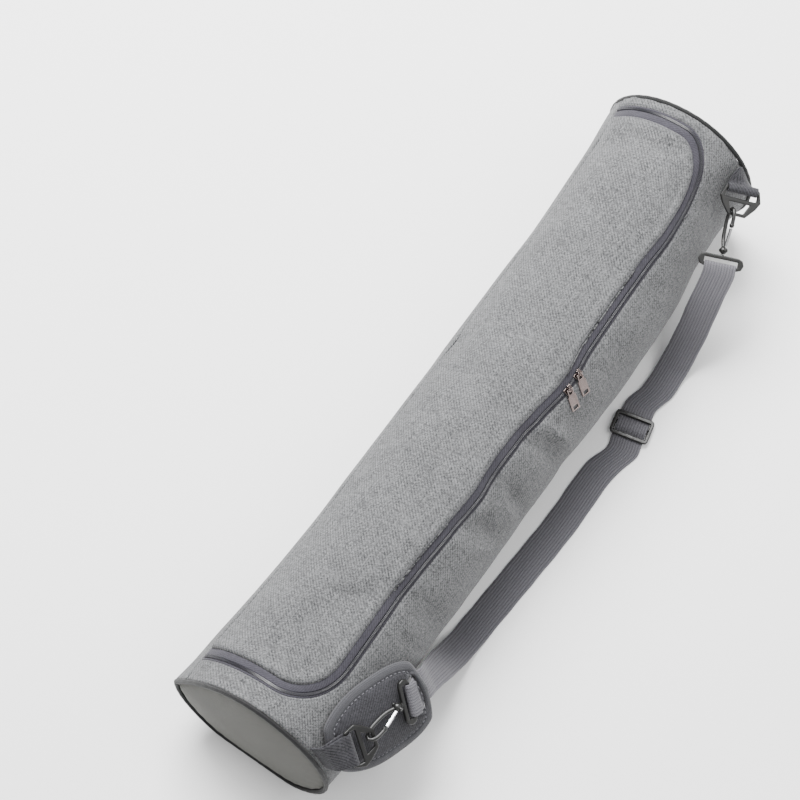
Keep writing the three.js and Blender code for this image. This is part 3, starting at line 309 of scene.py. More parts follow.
fold_rows = np.array([
    # at, angle, deep, long, wide, turn
    (0.93, -30, -0.014, 0.28, 0.07, 86), (0.97, 20, -0.012, 0.2, 0.08, 60),
    (0.72, -8, -0.03, 0.5, 0.2, 12), (0.84, 12, 0.016, 0.4, 0.16, 0),
    (0.55, -30, -0.024, 0.34, 0.09, 118), (0.46, 22, 0.014, 0.9, 0.1, 2),
    (0.3, 16, 0.014, 0.7, 0.12, -3), (0.19, 6, -0.02, 0.26, 0.09, 40),
    (0.12, -10, -0.016, 0.3, 0.12, 20), (0.545, 60, 0.03, 0.2, 0.07, 70),
    (0.525, 62, -0.04, 0.26, 0.08, 76), (0.44, 64, -0.035, 0.24, 0.08, 84),
    (0.38, 58, -0.03, 0.26, 0.08, 62), (0.245, 66, -0.035, 0.24, 0.1, 80),
    (0.95, 66, -0.045, 0.3, 0.22, 60),
])
# Small creases that only the cloth pieces show: at, angle, deep in mm, long and wide in mm, turn
crease_rows = np.array([
    (0.584, -57, -1.2, 32, 5, 64), (0.61, -30, 1.0, 30, 6, 62), (0.534, -35, -1.3, 22, 4, 84),
    (0.941, -20, -1.3, 34, 5, 92), (0.948, -45, 1.1, 26, 5, 78), (0.2, 5, -1.3, 22, 5, 56),
    (0.12, -12, -0.9, 26, 7, 15), (0.715, -6, -1.0, 30, 8, 10), (0.53, 61, -1.4, 26, 5, 82),
    (0.545, 62, 1.3, 22, 4.5, 78), (0.446, 62, -1.2, 24, 5, 96), (0.425, 60, 1.1, 22, 5, 100),
    (0.385, 58, -1.3, 26, 5, 70), (0.36, 66, 0.9, 22, 6, 66), (0.255, 58, -1.0, 24, 6, 90),
    (0.2, 65, -1.0, 28, 5, 84), (0.93, 62, -1.6, 26, 9, 72), (0.9, 48, 1.0, 30, 7, 40),
    (0.994, -27, -1.0, 16, 4, 10), (0.018, -16, -1.1, 14, 4, 8), (0.018, 6, 1.0, 14, 4, 8),
    (0.966, -48, 1.2, 40, 6, 4), (0.66, 62, -0.9, 34, 6, 60), (0.74, 66, 0.9, 40, 8, 50),
    (0.8, 60, -0.9, 30, 6, 64), (0.15, 50, -0.8, 26, 6, 30), (0.07, 40, 0.9, 24, 6, 60),
    (0.35, -38, -0.9, 40, 8, 28), (0.42, -20, 0.7, 46, 9, 24), (0.66, -40, 0.8, 44, 9, -20),
])


def table_value(rows, at, column):
    ats, values = rows[:, 0], rows[:, column]
    last = len(ats) - 1
    before = np.maximum(np.arange(last + 1) - 1, 0)
    after = np.minimum(np.arange(last + 1) + 1, last)
    slopes = (values[after] - values[before]) / (ats[after] - ats[before])
    row = np.clip(np.searchsorted(ats, at, side="left") - 1, 0, last - 1)
    span = ats[row + 1] - ats[row]
    t = np.clip((at - ats[row]) / span, 0, 1)
    t2, t3 = t * t, t * t * t
    return ((2 * t3 - 3 * t2 + 1) * values[row] + (t3 - 2 * t2 + t) * span * slopes[row]
            + (3 * t2 - 2 * t3) * values[row + 1] + (t3 - t2) * span * slopes[row + 1])


def plain_skin(at, angle):
    radians = np.radians(angle)
    across, up = np.sin(radians), np.cos(radians)
    high = height * table_value(section_rows, at, 3)
    left, right_side = table_value(section_rows, at, 1), table_value(section_rows, at, 2)
    wide = half_width * np.where(across > 0, right_side, left)
    pinch = np.where((across < 0) & (up > 0), table_value(section_rows, at, 4), 1.0)
    axle = high * 0.47
    z = axle + (high - axle) * np.sign(up) * np.abs(up) ** pinch
    rise = piping_proud * np.maximum(0, 1 - np.minimum(at, 1 - at) / 0.05) ** 2
    above = z - rise
    blend = 6.0
    floor = rise + np.where(above <= -blend, 0, (above + blend) ** 2 / (4 * blend))
    z = np.where(above < blend, floor, z)
    foot = height * table_value(section_rows, at, 5)
    head = height * table_value(section_rows, at, 6)
    x = -half_length + length * at + foot + (head - foot) * z / high
    return np.stack([x, -wide * across, z], -1)


def plain_normal(at, angle):
    low, high = np.maximum(at - 0.002, 0), np.minimum(at + 0.002, 1)
    along = plain_skin(high, angle) - plain_skin(low, angle)
    round_it = plain_skin(at, angle + 0.8) - plain_skin(at, angle - 0.8)
    normal = -np.cross(along, round_it)
    return normal / np.linalg.norm(normal, axis=-1, keepdims=True)


def fold_lift(at, angle):
    lift = np.zeros(np.shape(at))
    for where, turn_at, deep, long, wide, turn in fold_rows:
        cosine, sine = math.cos(math.radians(turn)), math.sin(math.radians(turn))
        x, y = (at - where) * length, (angle - turn_at) * mm_per_degree
        u = (x * cosine + y * sine) / (long * width)
        v = (y * cosine - x * sine) / (wide * width)
        lift = lift + deep * height * np.exp(-u * u - v * v)
    return lift


def crease_lift(at, angle):
    """Creases a little sharper than a fold, and faint waves along the cloth."""
    lift = np.zeros(np.shape(at))
    for where, turn_at, deep, long, wide, turn in crease_rows:
        cosine, sine = math.cos(math.radians(turn)), math.sin(math.radians(turn))
        x, y = (at - where) * length, (angle - turn_at) * mm_per_degree
        u = (x * cosine + y * sine) / long
        v = (y * cosine - x * sine + 0.16 * u * u * long) / wide
        lift = lift + 1.6 * deep * np.exp(-u * u - np.abs(v) ** 1.5)
    x, y = at * length, angle * mm_per_degree
    lift = lift + 0.45 * np.sin(x / 21 + 1.3 * np.sin(y / 26)) * np.sin(y / 17 + 0.8 * np.sin(x / 37))
    lift = lift + 0.2 * np.sin(x / 8.7 + 2.1 * np.sin(y / 11)) * np.sin(y / 9.3)
    ends = np.minimum(x, length - x)
    lift = lift + 0.35 * np.sin(y / 2.6 + 1.1 * np.sin(y / 13)) * np.exp(-ends / 7)
    return lift


def on_skin(x, a, lift, detail=0.0):
    at, angle = (x + half_length) / length, a / mm_per_degree
    base = plain_skin(at, angle)
    away = lift + fold_lift(at, angle)
    clear = np.clip((base[..., 2] - 5) / 18, 0, 1) * (1 - 0.95 * np.exp(-((angle - hinge_angle) / 5) ** 2))
    away = away + detail * clear * crease_lift(at, angle)
    point = base + plain_normal(at, angle) * away[..., None]
    point[..., 2] = np.maximum(point[..., 2], 0.02)
    return point


hinge_line = hinge_angle * mm_per_degree


def zip_line(x):
    return table_value(zip_rows, (x + half_length) / length, 1) * mm_per_degree


def end_edge(end, share, grow):
    x, inward, long, wide = corners_of[end]
    centre_x = x + inward * long
    centre_a = zip_line(np.array(centre_x)) - wide
    straight = centre_a - hinge_line
    bend = (long + wide) * 0.79
    travelled = np.asarray(share) * (straight + bend)
    turn = (travelled - straight) / bend * math.pi / 2
    on_straight = travelled < straight
    flat_x = np.where(on_straight, x - inward * grow, centre_x - inward * (long + grow) * np.cos(turn))
    flat_a = np.where(on_straight, hinge_line + travelled, centre_a + (wide + grow) * np.sin(turn))
    return np.stack([flat_x, flat_a], -1)


def long_edge(share, grow):
    low = corners_of["low"][0] + corners_of["low"][2]
    top = corners_of["top"][0] - corners_of["top"][2]
    x = low + (top - low) * np.asarray(share)
    return np.stack([x, zip_line(x) + grow], -1)


def zip_path(grow, end_steps=110, long_steps=330):
    low = end_edge("low", np.linspace(0, 1, end_steps), grow)
    middle = long_edge(np.linspace(0, 1, long_steps + 2)[1:-1], grow)
    top = end_edge("top", np.linspace(1, 0, end_steps), grow)
    return np.concatenate([low, middle, top])


zip_middle = zip_path(0.0, 160, 420)
zip_travel = np.concatenate([[0], np.cumsum(np.linalg.norm(np.diff(zip_middle, axis=0), axis=1))])


def near_zip(flat):
    """Distance from the coil's line and the distance along it, for flat points."""
    away, travel = np.empty(len(flat)), np.empty(len(flat))
    for start in range(0, len(flat), 4000):
        part = flat[start:start + 4000]
        gap = np.linalg.norm(part[:, None] - zip_middle[None], axis=2)
        nearest = gap.argmin(axis=1)
        away[start:start + 4000] = gap[np.arange(len(part)), nearest]
        travel[start:start + 4000] = zip_travel[nearest]
    return away, travel


def hem_lift(flat, edge, puff, pucker):
    """Cloth beside the zip: its edge rolls down, then it puffs up, with puckers from the stitches."""
    away, travel = near_zip(flat)
    past = np.maximum(away - edge, 0)
    wave = np.sin(travel / 2.1 + 1.7 * np.sin(travel / 17)) + 0.6 * np.sin(travel / 4.9)
    return (-1.1 * np.exp(-past / 0.8) + puff * np.exp(-((past - 5) / 4) ** 2)
            + pucker * wave * np.exp(-past / 6) * (1 - np.exp(-past / 2)))


def calm(flat, edge):
    """Share of the creases that the cloth shows: none where it is sewn to the tape."""
    return 1 - np.exp(-(np.maximum(near_zip(flat)[0] - edge, 0) / 7) ** 2)


cloth_out = coil_width / 2 + tape_on_body + 2 * piece_gap
cloth_in = -(coil_width / 2 + tape_on_flap + 2 * piece_gap)


def mixed(first, second, share):
    return first + (second - first) * share


# Body cloth
def body_cloth():
    end_columns, window_columns, window_rows, flank_rows = 12, 230, 60, 116
    columns = 2 * end_columns + window_columns
    full_turn = np.array([0, 360 * mm_per_degree])

    def end_point(side, share):
        return np.array([side, mixed(hinge_line, float(zip_line(np.array(side))), share)])

    def row_points(share):
        row = np.zeros((columns + 1, 2))
        low, top = end_edge("low", share, cloth_out), end_edge("top", share, cloth_out)
        for column in range(end_columns + 1):
            row[column] = mixed(end_point(-half_length, share), low, column / end_columns)
            row[columns - column] = mixed(end_point(half_length, share), top, column / end_columns)
        along = np.arange(1, window_columns) / window_columns
        if share == 1:
            row[end_columns + 1:end_columns + window_columns] = long_edge(along, cloth_out)
        else:
            x = mixed(end_edge("low", 0, cloth_out)[0], end_edge("top", 0, cloth_out)[0], along)
            row[end_columns + 1:end_columns + window_columns, 0] = x
            row[end_columns + 1:end_columns + window_columns, 1] = hinge_line
        return row

    rows = [row_points(row / window_rows) for row in range(window_rows + 1)]
    first, last = rows[0], rows[-1]
    rows += [mixed(last, first + full_turn, row / flank_rows) for row in range(1, flank_rows + 1)]
    flat = np.array(rows).reshape(-1, 2)
    faces = []
    for row in range(window_rows + flank_rows):
        for column in range(columns):
            if row < window_rows and end_columns <= column < end_columns + window_columns:
                continue
            here = row * (columns + 1) + column
            faces.append((here, here + columns + 1, here + columns + 2, here + 1))
    lift = hem_lift(flat, cloth_out, 0.5, 0.28)
    seam = np.minimum(np.abs(flat[:, 1] - hinge_line), np.abs(flat[:, 1] - hinge_line - full_turn[1]))
    lift = lift - 0.9 * np.exp(-seam / 1.0)
    off_floor = plain_skin((flat[:, 0] + half_length) / length, flat[:, 1] / mm_per_degree)[:, 2]
    clear = np.clip((off_floor - 5) / 12, 0, 1)
    corners = on_skin(flat[:, 0], flat[:, 1], lift * clear, calm(flat, cloth_out))
    piece = new_piece("body_cloth", corners, faces, flat, [cloth])
    thicken(piece, cloth_thick)
    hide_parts("body_shell")


def flap_cloth():
    rows, columns = 84, 300
    v = np.linspace(0, 1, rows + 1)[:, None]
    u = np.linspace(0, 1, columns + 1)[None, :]
    low, top = end_edge("low", v[:, 0], cloth_in), end_edge("top", v[:, 0], cloth_in)
    zipped = long_edge(u[0], cloth_in)
    start, end = end_edge("low", 0, cloth_in), end_edge("top", 0, cloth_in)
    hinge = mixed(start, end, u[0][:, None])
    low_side = mixed(start, end_edge("low", 1, cloth_in), v)
    top_side = mixed(end, end_edge("top", 1, cloth_in), v)
    corner = mixed(low_side[:, None], top_side[:, None], u[0][None, :, None])
    ends = mixed(low[:, None], top[:, None], u[0][None, :, None])
    sides = mixed(hinge[None], zipped[None], v[:, :, None])
    flat = (ends + sides - corner).reshape(-1, 2)
    flat[:, 1] -= (1 - np.repeat(v[:, 0], columns + 1)) ** 3 * 0.9
    here = (np.arange(rows)[:, None] * (columns + 1) + np.arange(columns)[None]).ravel()
    faces = np.stack([here, here + columns + 1, here + columns + 2, here + 1], 1)
    lift = hem_lift(flat, -cloth_in, 1.6, 0.5)
    past_hinge = np.maximum(flat[:, 1] - hinge_line, 0)
    lift = lift - 1.1 * np.exp(-past_hinge / 1.0) + 0.5 * np.exp(-((past_hinge - 5) / 4) ** 2)
    corners = on_skin(flat[:, 0], flat[:, 1], lift, calm(flat, -cloth_in))
    piece = new_piece("flap_cloth", corners, faces.tolist(), flat, [cloth])
    thicken(piece, cloth_thick)
    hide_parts("flap_panel")


# Zip
def zip_strip(name, inner, outer, columns, high, look, node, tucked):
    shares = np.linspace(0, 1, columns)
    edges = [zip_path(mixed(inner, outer, share)) for share in shares]
    flat = np.array(edges).transpose(1, 0, 2)
    steps = len(flat)
    crown = high + 0.15 * np.sin(shares * math.pi) - np.abs(1 - tucked - shares) ** 6
    corners = on_skin(flat[..., 0], flat[..., 1], np.broadcast_to(crown, (steps, columns)))
    travel = np.arange(steps)[:, None] * 1.3
    own = np.stack([np.broadcast_to(travel, (steps, columns)),
                    np.broadcast_to(mixed(inner, outer, shares), (steps, columns))], -1)
    here = (np.arange(steps - 1)[:, None] * columns + np.arange(columns - 1)[None]).ravel()
    faces = np.stack([here, here + 1, here + columns + 1, here + columns], 1)
    piece = new_piece(name, corners.reshape(-1, 3), faces.tolist(), own.reshape(-1, 2), [look])
    thicken(piece, tape_thick)
    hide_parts(node)


def curve_frames(flat, lift):
    """Points on the bag along a flat path, with the way along, the way out and the way across."""
    points = on_skin(flat[:, 0], flat[:, 1], np.full(len(flat), lift))
    at = np.clip((flat[:, 0] + half_length) / length, 0, 1)
    out = plain_normal(at, flat[:, 1] / mm_per_degree)
    along = np.gradient(points, axis=0)
    along /= np.linalg.norm(along, axis=1, keepdims=True)
    across = np.cross(along, out)
    across /= np.linalg.norm(across, axis=1, keepdims=True)
    return points, along, out, across


def resampled(points, step):
    travel = np.concatenate([[0], np.cumsum(np.linalg.norm(np.diff(points, axis=0), axis=1))])
    stations = np.arange(0, travel[-1], step)
    return np.stack([np.interp(stations, travel, points[:, axis]) for axis in range(points.shape[1])], 1)


def zip_teeth():
    """Coil of the closed zip: two rows of rounded bars over a cord."""
    flat = resampled(zip_middle, 0.62)
    points, along, out, across = curve_frames(flat, 0.0)
    corners, faces = [], []
    outline = [(-0.2, -0.2), (1.3, -0.2), (1.3, 0.25), (1.05, 0.5), (0.1, 0.5), (-0.2, 0.25)]
    for index in range(2, len(points) - 2):
        side = 1 if index % 2 else -1
        base = len(corners)
        for end in (-0.3, 0.3):
            for reach, rise in outline:
                sideways = across[index] * side * reach + out[index] * rise
                corners.append(points[index] + along[index] * end + sideways)
        count = len(outline)
        for step in range(count):
            after = (step + 1) % count
            faces.append((base + step, base + after, base + count + after, base + count + step))
        faces.append(tuple(base + step for step in range(count)))
        faces.append(tuple(base + count + step for step in range(count)))
    steps = len(points)
    base = len(corners)
    for index in range(steps):
        for reach, rise in ((-1.3, -0.1), (-1.3, -1.4), (1.3, -1.4), (1.3, -0.1)):
            corners.append(points[index] + across[index] * reach + out[index] * rise)
    for index in range(steps - 1):
        for step in range(4):
            after = (step + 1) % 4
            here = base + index * 4
            faces.append((here + step, here + after, here + 4 + after, here + 4 + step))
    piece = new_piece("coil_teeth", np.array(corners), faces, None, [coil_plastic])
    piece.data.polygons.foreach_set("use_smooth", np.zeros(len(piece.data.polygons), dtype=bool))
    outward(piece)
    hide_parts("zip_coil")


# Ends
def end_disc(at, name, node):
    side = -1 if at == 0 else 1
    steps, rings = 144, 26
    angles = np.arange(steps) * 360 / steps
    ats = np.full(steps, float(at))
    inset = piping_radius * 2 - piping_proud + piece_gap
    rim = plain_skin(ats, angles) - plain_normal(ats, angles) * inset
    centre = rim.mean(axis=0)
    waves = np.fft.rfft(rim, axis=0)
    waves[5:] = 0
    soft_rim = np.fft.irfft(waves, steps, axis=0)
    shares = np.sin(np.linspace(0, math.pi / 2, rings + 1))[1:]
    rows = []
    for share in shares:
        row = mixed(centre, mixed(soft_rim, rim, share ** 6), share)
        bulge = disc_bulge * (1 - share * share) ** 0.8
        pucker = 0.35 * np.sin(np.radians(angles) * 31 + 2 * np.sin(np.radians(angles) * 5)) * share ** 12
        wave = 0.5 * np.sin(row[:, 1] / 19 + row[:, 2] / 31) * (1 - share)
        row[:, 0] += side * (piece_gap + disc_wall + bulge + pucker + wave - 1.2 * share ** 40)
        rows.append(row)
    middle = centre.copy()
    middle[0] += side * (piece_gap + disc_wall + disc_bulge)
    corners = np.concatenate([[middle], np.concatenate(rows)])
    faces = []
    for step in range(steps):
        after = (step + 1) % steps
        faces.append((0, 1 + step, 1 + after)[::side])
        for ring in range(rings - 1):
            inner, outer = 1 + ring * steps, 1 + (ring + 1) * steps
            faces.append((inner + step, outer + step, outer + after, inner + after)[::side])
    piece = new_piece(name, corners, faces, corners[:, 1:3].copy(), [disc_cloth])
    thicken(piece, cloth_thick)
    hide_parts(node)


def piping(at, name, node):
    side = -1 if at == 0 else 1
    steps, sides = 260, 14
    angles = np.arange(steps) * 360 / steps
    ats = np.full(steps, float(at))
    normal = plain_normal(ats, angles)
    centre = plain_skin(ats, angles) + normal * (piping_proud - piping_radius + 0.2)
    centre[:, 2] = np.maximum(centre[:, 2], piping_radius + piping_fuller)
    centre[:, 0] += side * (piece_gap + piping_radius)
    turns = np.arange(sides + 1) / sides * 2 * math.pi
    swell = (piping_radius + piping_fuller) * (0.97 + 0.03 * np.sin(np.arange(steps) * 2 * math.pi * 45 / steps))
    ring = (normal[:, None] * (swell[:, None] * np.cos(turns))[..., None]
            + np.array([side, 0, 0]) * (swell[:, None] * np.sin(turns))[..., None])
    corners = centre[:, None] + ring
    corners = np.concatenate([corners, corners[:1]])
    flat = np.stack(np.meshgrid(np.arange(steps + 1) * 1.9, turns * piping_radius, indexing="ij"), -1)
    here = (np.arange(steps)[:, None] * (sides + 1) + np.arange(sides)[None]).ravel()
    faces = np.stack([here, here + 1, here + sides + 2, here + sides + 1], 1)[:, ::side]
    piece = new_piece(name, corners.reshape(-1, 3), faces.tolist(), flat.reshape(-1, 2), [piping_cloth])
    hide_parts(node)


# Webbing
webbing_wide, webbing_thick, length_slack = 30.0, 1.4, 0.01


def webbing_knots(node):
    """Middle and width direction along a webbing of the frame, from its rings of four corners."""
    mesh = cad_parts[node].data
    every = np.array([vertex.co for vertex in mesh.vertices]) / MM
    points, place = np.unique(np.round(every, 3), axis=0, return_inverse=True)
    pairs = place.ravel()[np.array([edge.vertices[:] for edge in mesh.edges])]
    edges = np.unique(np.sort(pairs, axis=1), axis=0)
    spans = np.linalg.norm(points[edges[:, 0]] - points[edges[:, 1]], axis=1)
    in_ring = (np.abs(spans - webbing_wide) < length_slack) | (np.abs(spans - webbing_thick) < length_slack)
    ring = np.arange(len(points))
    for _ in range(4):
        for first, second in edges[in_ring]:
            ring[ring == max(ring[first], ring[second])] = min(ring[first], ring[second])
    beside = {int(label): set() for label in np.unique(ring)}
    for first, second in edges[~in_ring]:
        if ring[first] != ring[second]:
            beside[int(ring[first])].add(int(ring[second]))
            beside[int(ring[second])].add(int(ring[first]))
    order = [min(label for label in beside if len(beside[label]) == 1)]
    while len(order) < len(beside):
        order.append(next(label for label in beside[order[-1]] if label not in order))
    knots = []
    for label in order:
        corners = points[ring == label]
        across = corners - corners[0]
        side = across[np.abs(np.linalg.norm(across, axis=1) - webbing_wide).argmin()] / webbing_wide
        if knots and side.dot(knots[-1][3:]) < 0:
            side = -side
        knots.append(np.concatenate([corners.mean(axis=0), side]))
    return np.array(knots)


def smooth_line(points, shares):
    """Centripetal Catmull-Rom line through points, at shares of its knots."""
    last = len(points) - 1
    padded = np.concatenate([[2 * points[0] - points[1]], points, [2 * points[-1] - points[-2]]])
    place = np.asarray(shares) * last
    index = np.minimum(place.astype(int), last - 1)
    t = (place - index)[:, None]
    p0, p1, p2, p3 = (padded[index + step] for step in range(4))
    pairs = ((p0, p1), (p1, p2), (p2, p3))
    gaps = [np.maximum(np.linalg.norm(b - a, axis=1), 1e-8)[:, None] ** 0.5 for a, b in pairs]
    gaps[1] = np.where(gaps[1] < 1e-4, 1, gaps[1])
    gaps[0] = np.where(gaps[0] < 1e-4, gaps[1], gaps[0])
    gaps[2] = np.where(gaps[2] < 1e-4, gaps[1], gaps[2])
    t1 = ((p1 - p0) / gaps[0] - (p2 - p0) / (gaps[0] + gaps[1]) + (p2 - p1) / gaps[1]) * gaps[1]
    t2 = ((p2 - p1) / gaps[1] - (p3 - p1) / (gaps[1] + gaps[2]) + (p3 - p2) / gaps[2]) * gaps[1]
    return p1 + t1 * t + (-3 * p1 + 3 * p2 - 2 * t1 - t2) * t ** 2 + (2 * p1 - 2 * p2 + t1 + t2) * t ** 3


def ribbon_frames(knots, step_mm):
    shares = np.linspace(0, 1, len(knots) * 40)
    rough_line = smooth_line(knots[:, :3], shares)
    travel = np.concatenate([[0], np.cumsum(np.linalg.norm(np.diff(rough_line, axis=0), axis=1))])
    stations = np.linspace(0, travel[-1], int(travel[-1] / step_mm) + 1)
    picked = np.interp(stations, travel, shares)
    centre = smooth_line(knots[:, :3], picked)
    side = smooth_line(knots[:, 3:], picked)
    side /= np.linalg.norm(side, axis=1, keepdims=True)
    along = np.gradient(centre, axis=0)
    along /= np.linalg.norm(along, axis=1, keepdims=True)
    face = np.cross(along, side)
    face /= np.linalg.norm(face, axis=1, keepdims=True)
    return centre, side, face, stations


def ribbon(name, node, step_mm, look):
    wide, thick = webbing_wide, webbing_thick
    centre, side, face, stations = ribbon_frames(webbing_knots(node), step_mm)
    edge = np.linspace(-1, 1, 13)
    outline = [(x * (wide / 2 - 0.5), thick / 2) for x in edge]
    outline += [(wide / 2 - 0.12, thick * 0.3), (wide / 2, 0), (wide / 2 - 0.12, -thick * 0.3)]
    outline += [(-x * (wide / 2 - 0.5), -thick / 2) for x in edge]
    outline += [(-wide / 2 + 0.12, -thick * 0.3), (-wide / 2, 0), (-wide / 2 + 0.12, thick * 0.3)]
    outline = np.array(outline + outline[:1])
    count, steps = len(outline), len(centre)
    wavy = 0.16 * np.sin(stations / 5.3)[:, None] * (np.abs(outline[:, 0]) > wide / 2 - 0.6)
    across = outline[None, :, 0] + wavy * np.sign(outline[:, 0])
    corners = centre[:, None] + side[:, None] * across[..., None] + face[:, None] * outline[None, :, 1:2]
    corners[..., 2] = np.maximum(corners[..., 2], 0.01)
    flat = np.stack([np.broadcast_to(outline[:, 0] + wide / 2, (steps, count)),
                     np.broadcast_to(stations[:, None], (steps, count))], -1)
    here = (np.arange(steps - 1)[:, None] * count + np.arange(count - 1)[None]).ravel()
    faces = np.stack([here, here + count, here + count + 1, here + 1], 1).tolist()
    faces.append(list(range(count - 1)))
    faces.append(list(range((steps - 1) * count + count - 2, (steps - 1) * count - 1, -1)))
    piece = new_piece(name, corners.reshape(-1, 3), faces, flat.reshape(-1, 2), [look])
    outward(piece)
    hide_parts(node)


# Stitches: one thread bead for each, on points with an outward direction
def stitches(name, points, out, long_mm, gap_mm, radius, look=thread):
    travel = np.concatenate([[0], np.cumsum(np.linalg.norm(np.diff(points, axis=0), axis=1))])
    starts = np.arange(0.5, travel[-1] - long_mm, long_mm + gap_mm)
    ring = np.arange(6) / 6 * 2 * math.pi
    profile = [(0.0, 0.25, -0.8), (0.18, 0.9, -0.15), (0.5, 1.0, 0.25), (0.82, 0.9, -0.15), (1.0, 0.25, -0.8)]
    corners, faces = [], []

    def value(array, at):
        return np.array([np.interp(at, travel, array[:, axis]) for axis in range(3)])

    for start in starts:
        along = value(points, start + long_mm) - value(points, start)
        along /= np.linalg.norm(along)
        up = value(out, start + long_mm / 2)
        up = up - along * up.dot(along)
        up /= np.linalg.norm(up)
        across = np.cross(along, up)
        base = len(corners)
        for share, swell, rise in profile:
            centre = value(points, start + share * long_mm) + up * rise * radius
            for turn in ring:
                corners.append(centre + radius * swell * (across * math.cos(turn) + up * math.sin(turn)))
        for row in range(len(profile) - 1):
            for step in range(6):
                here, after = base + row * 6 + step, base + row * 6 + (step + 1) % 6
                faces.append((here, after, after + 6, here + 6))
        faces.append(tuple(base + step for step in range(5, -1, -1)))
        faces.append(tuple(base + 24 + step for step in range(6)))
    piece = new_piece(name, np.array(corners), faces, None, [look])
    outward(piece)


def skin_stitches(name, flat, lift, long_mm, gap_mm, radius, edge=None, puff=0.0):
    flat = resampled(flat, 0.8)
    raised = np.full(len(flat), lift)
    detail = 1.0
    if edge is not None:
        raised = raised + hem_lift(flat, edge, puff, 0.0)
        detail = calm(flat, edge)
    points = on_skin(flat[:, 0], flat[:, 1], raised, detail)
    at = np.clip((flat[:, 0] + half_length) / length, 0, 1)
    stitches(name, points, plain_normal(at, flat[:, 1] / mm_per_degree), long_mm, gap_mm, radius)


# Pad, in its own frame: u across, v along, w out
pad_long, pad_wide, pad_thick = 112.0, 78.0, 6.0
pad_at, pad_angle, pad_spin, pad_out, pad_lift = 0.0915, 43.0, 21.8, 34.0, 5.9
bow_across, bow_along, droop, droop_from = 5.0, 2.0, 3.0, 15.0
slit_middle, slit_half, slit_wide = np.array([-1.0, 44.5]), 17.0, 4.4
pad_seat, pad_up = plain_skin(pad_at, pad_angle), plain_normal(pad_at, pad_angle)
pad_down = np.cross((1.0, 0, 0), pad_up)
pad_down /= np.linalg.norm(pad_down)
pad_v = np.array(Matrix.Rotation(math.radians(-pad_spin), 3, Vector(pad_up)) @ Vector((1, 0, 0)))
pad_u = pad_down - pad_v * pad_down.dot(pad_v)
pad_u /= np.linalg.norm(pad_u)
pad_w = np.cross(pad_u, pad_v)
pad_origin = pad_seat + pad_down * pad_out + pad_up * (pad_thick / 2 + pad_lift)


def on_pad(u, v, lift):
    past = np.maximum(0, -v - droop_from) / (pad_long / 2 - droop_from)
    bow = bow_across * (u / pad_wide * 2) ** 2 + bow_along * (v / pad_long * 2) ** 2
    w = lift - bow - droop * past * past
    return pad_origin + u[..., None] * pad_u + v[..., None] * pad_v + w[..., None] * pad_w


def pad_half_width(v):
    share = np.minimum(np.abs(v) / pad_long * 2, 1)
    blunt = np.where(v > 0, 3.2, 2.0)
    return pad_wide / 2 * (1 - 0.86 * share ** blunt) ** (1 / blunt)


def pad_outline(count=900):
    """Outline points, round the pad, with its cut ends rounded."""
    v = pad_long / 2 * np.cos(np.linspace(0, math.pi, count // 2))
    u = pad_half_width(v)
    cut = np.clip((pad_long / 2 - np.abs(v)) / 7, 0, 1)
    u = u * (1 - (1 - cut) ** 2.2)
    right_side = np.stack([u, v], 1)
    loop = np.concatenate([right_side, right_side[::-1] * [-1, 1]])
    return resampled(loop, 0.7)


def nearest(points, line):
    best, index = np.empty(len(points)), np.empty(len(points), dtype=int)
    for start in range(0, len(points), 4000):
        gap = np.linalg.norm(points[start:start + 4000, None] - line[None], axis=2)
        index[start:start + 4000] = gap.argmin(axis=1)
        best[start:start + 4000] = gap.min(axis=1)
    return best, index


def inside_loop(points, loop):
    """True where a point lies inside a closed outline."""
    count = np.zeros(len(points), dtype=int)
    after = np.roll(loop, -1, axis=0)
    for (x0, y0), (x1, y1) in zip(loop, after):
        if y0 == y1:
            continue
        crosses = (points[:, 1] > min(y0, y1)) & (points[:, 1] <= max(y0, y1))
        where = x0 + (points[:, 1] - y0) / (y1 - y0) * (x1 - x0)
        count += crosses & (where > points[:, 0])
    return count % 2 == 1


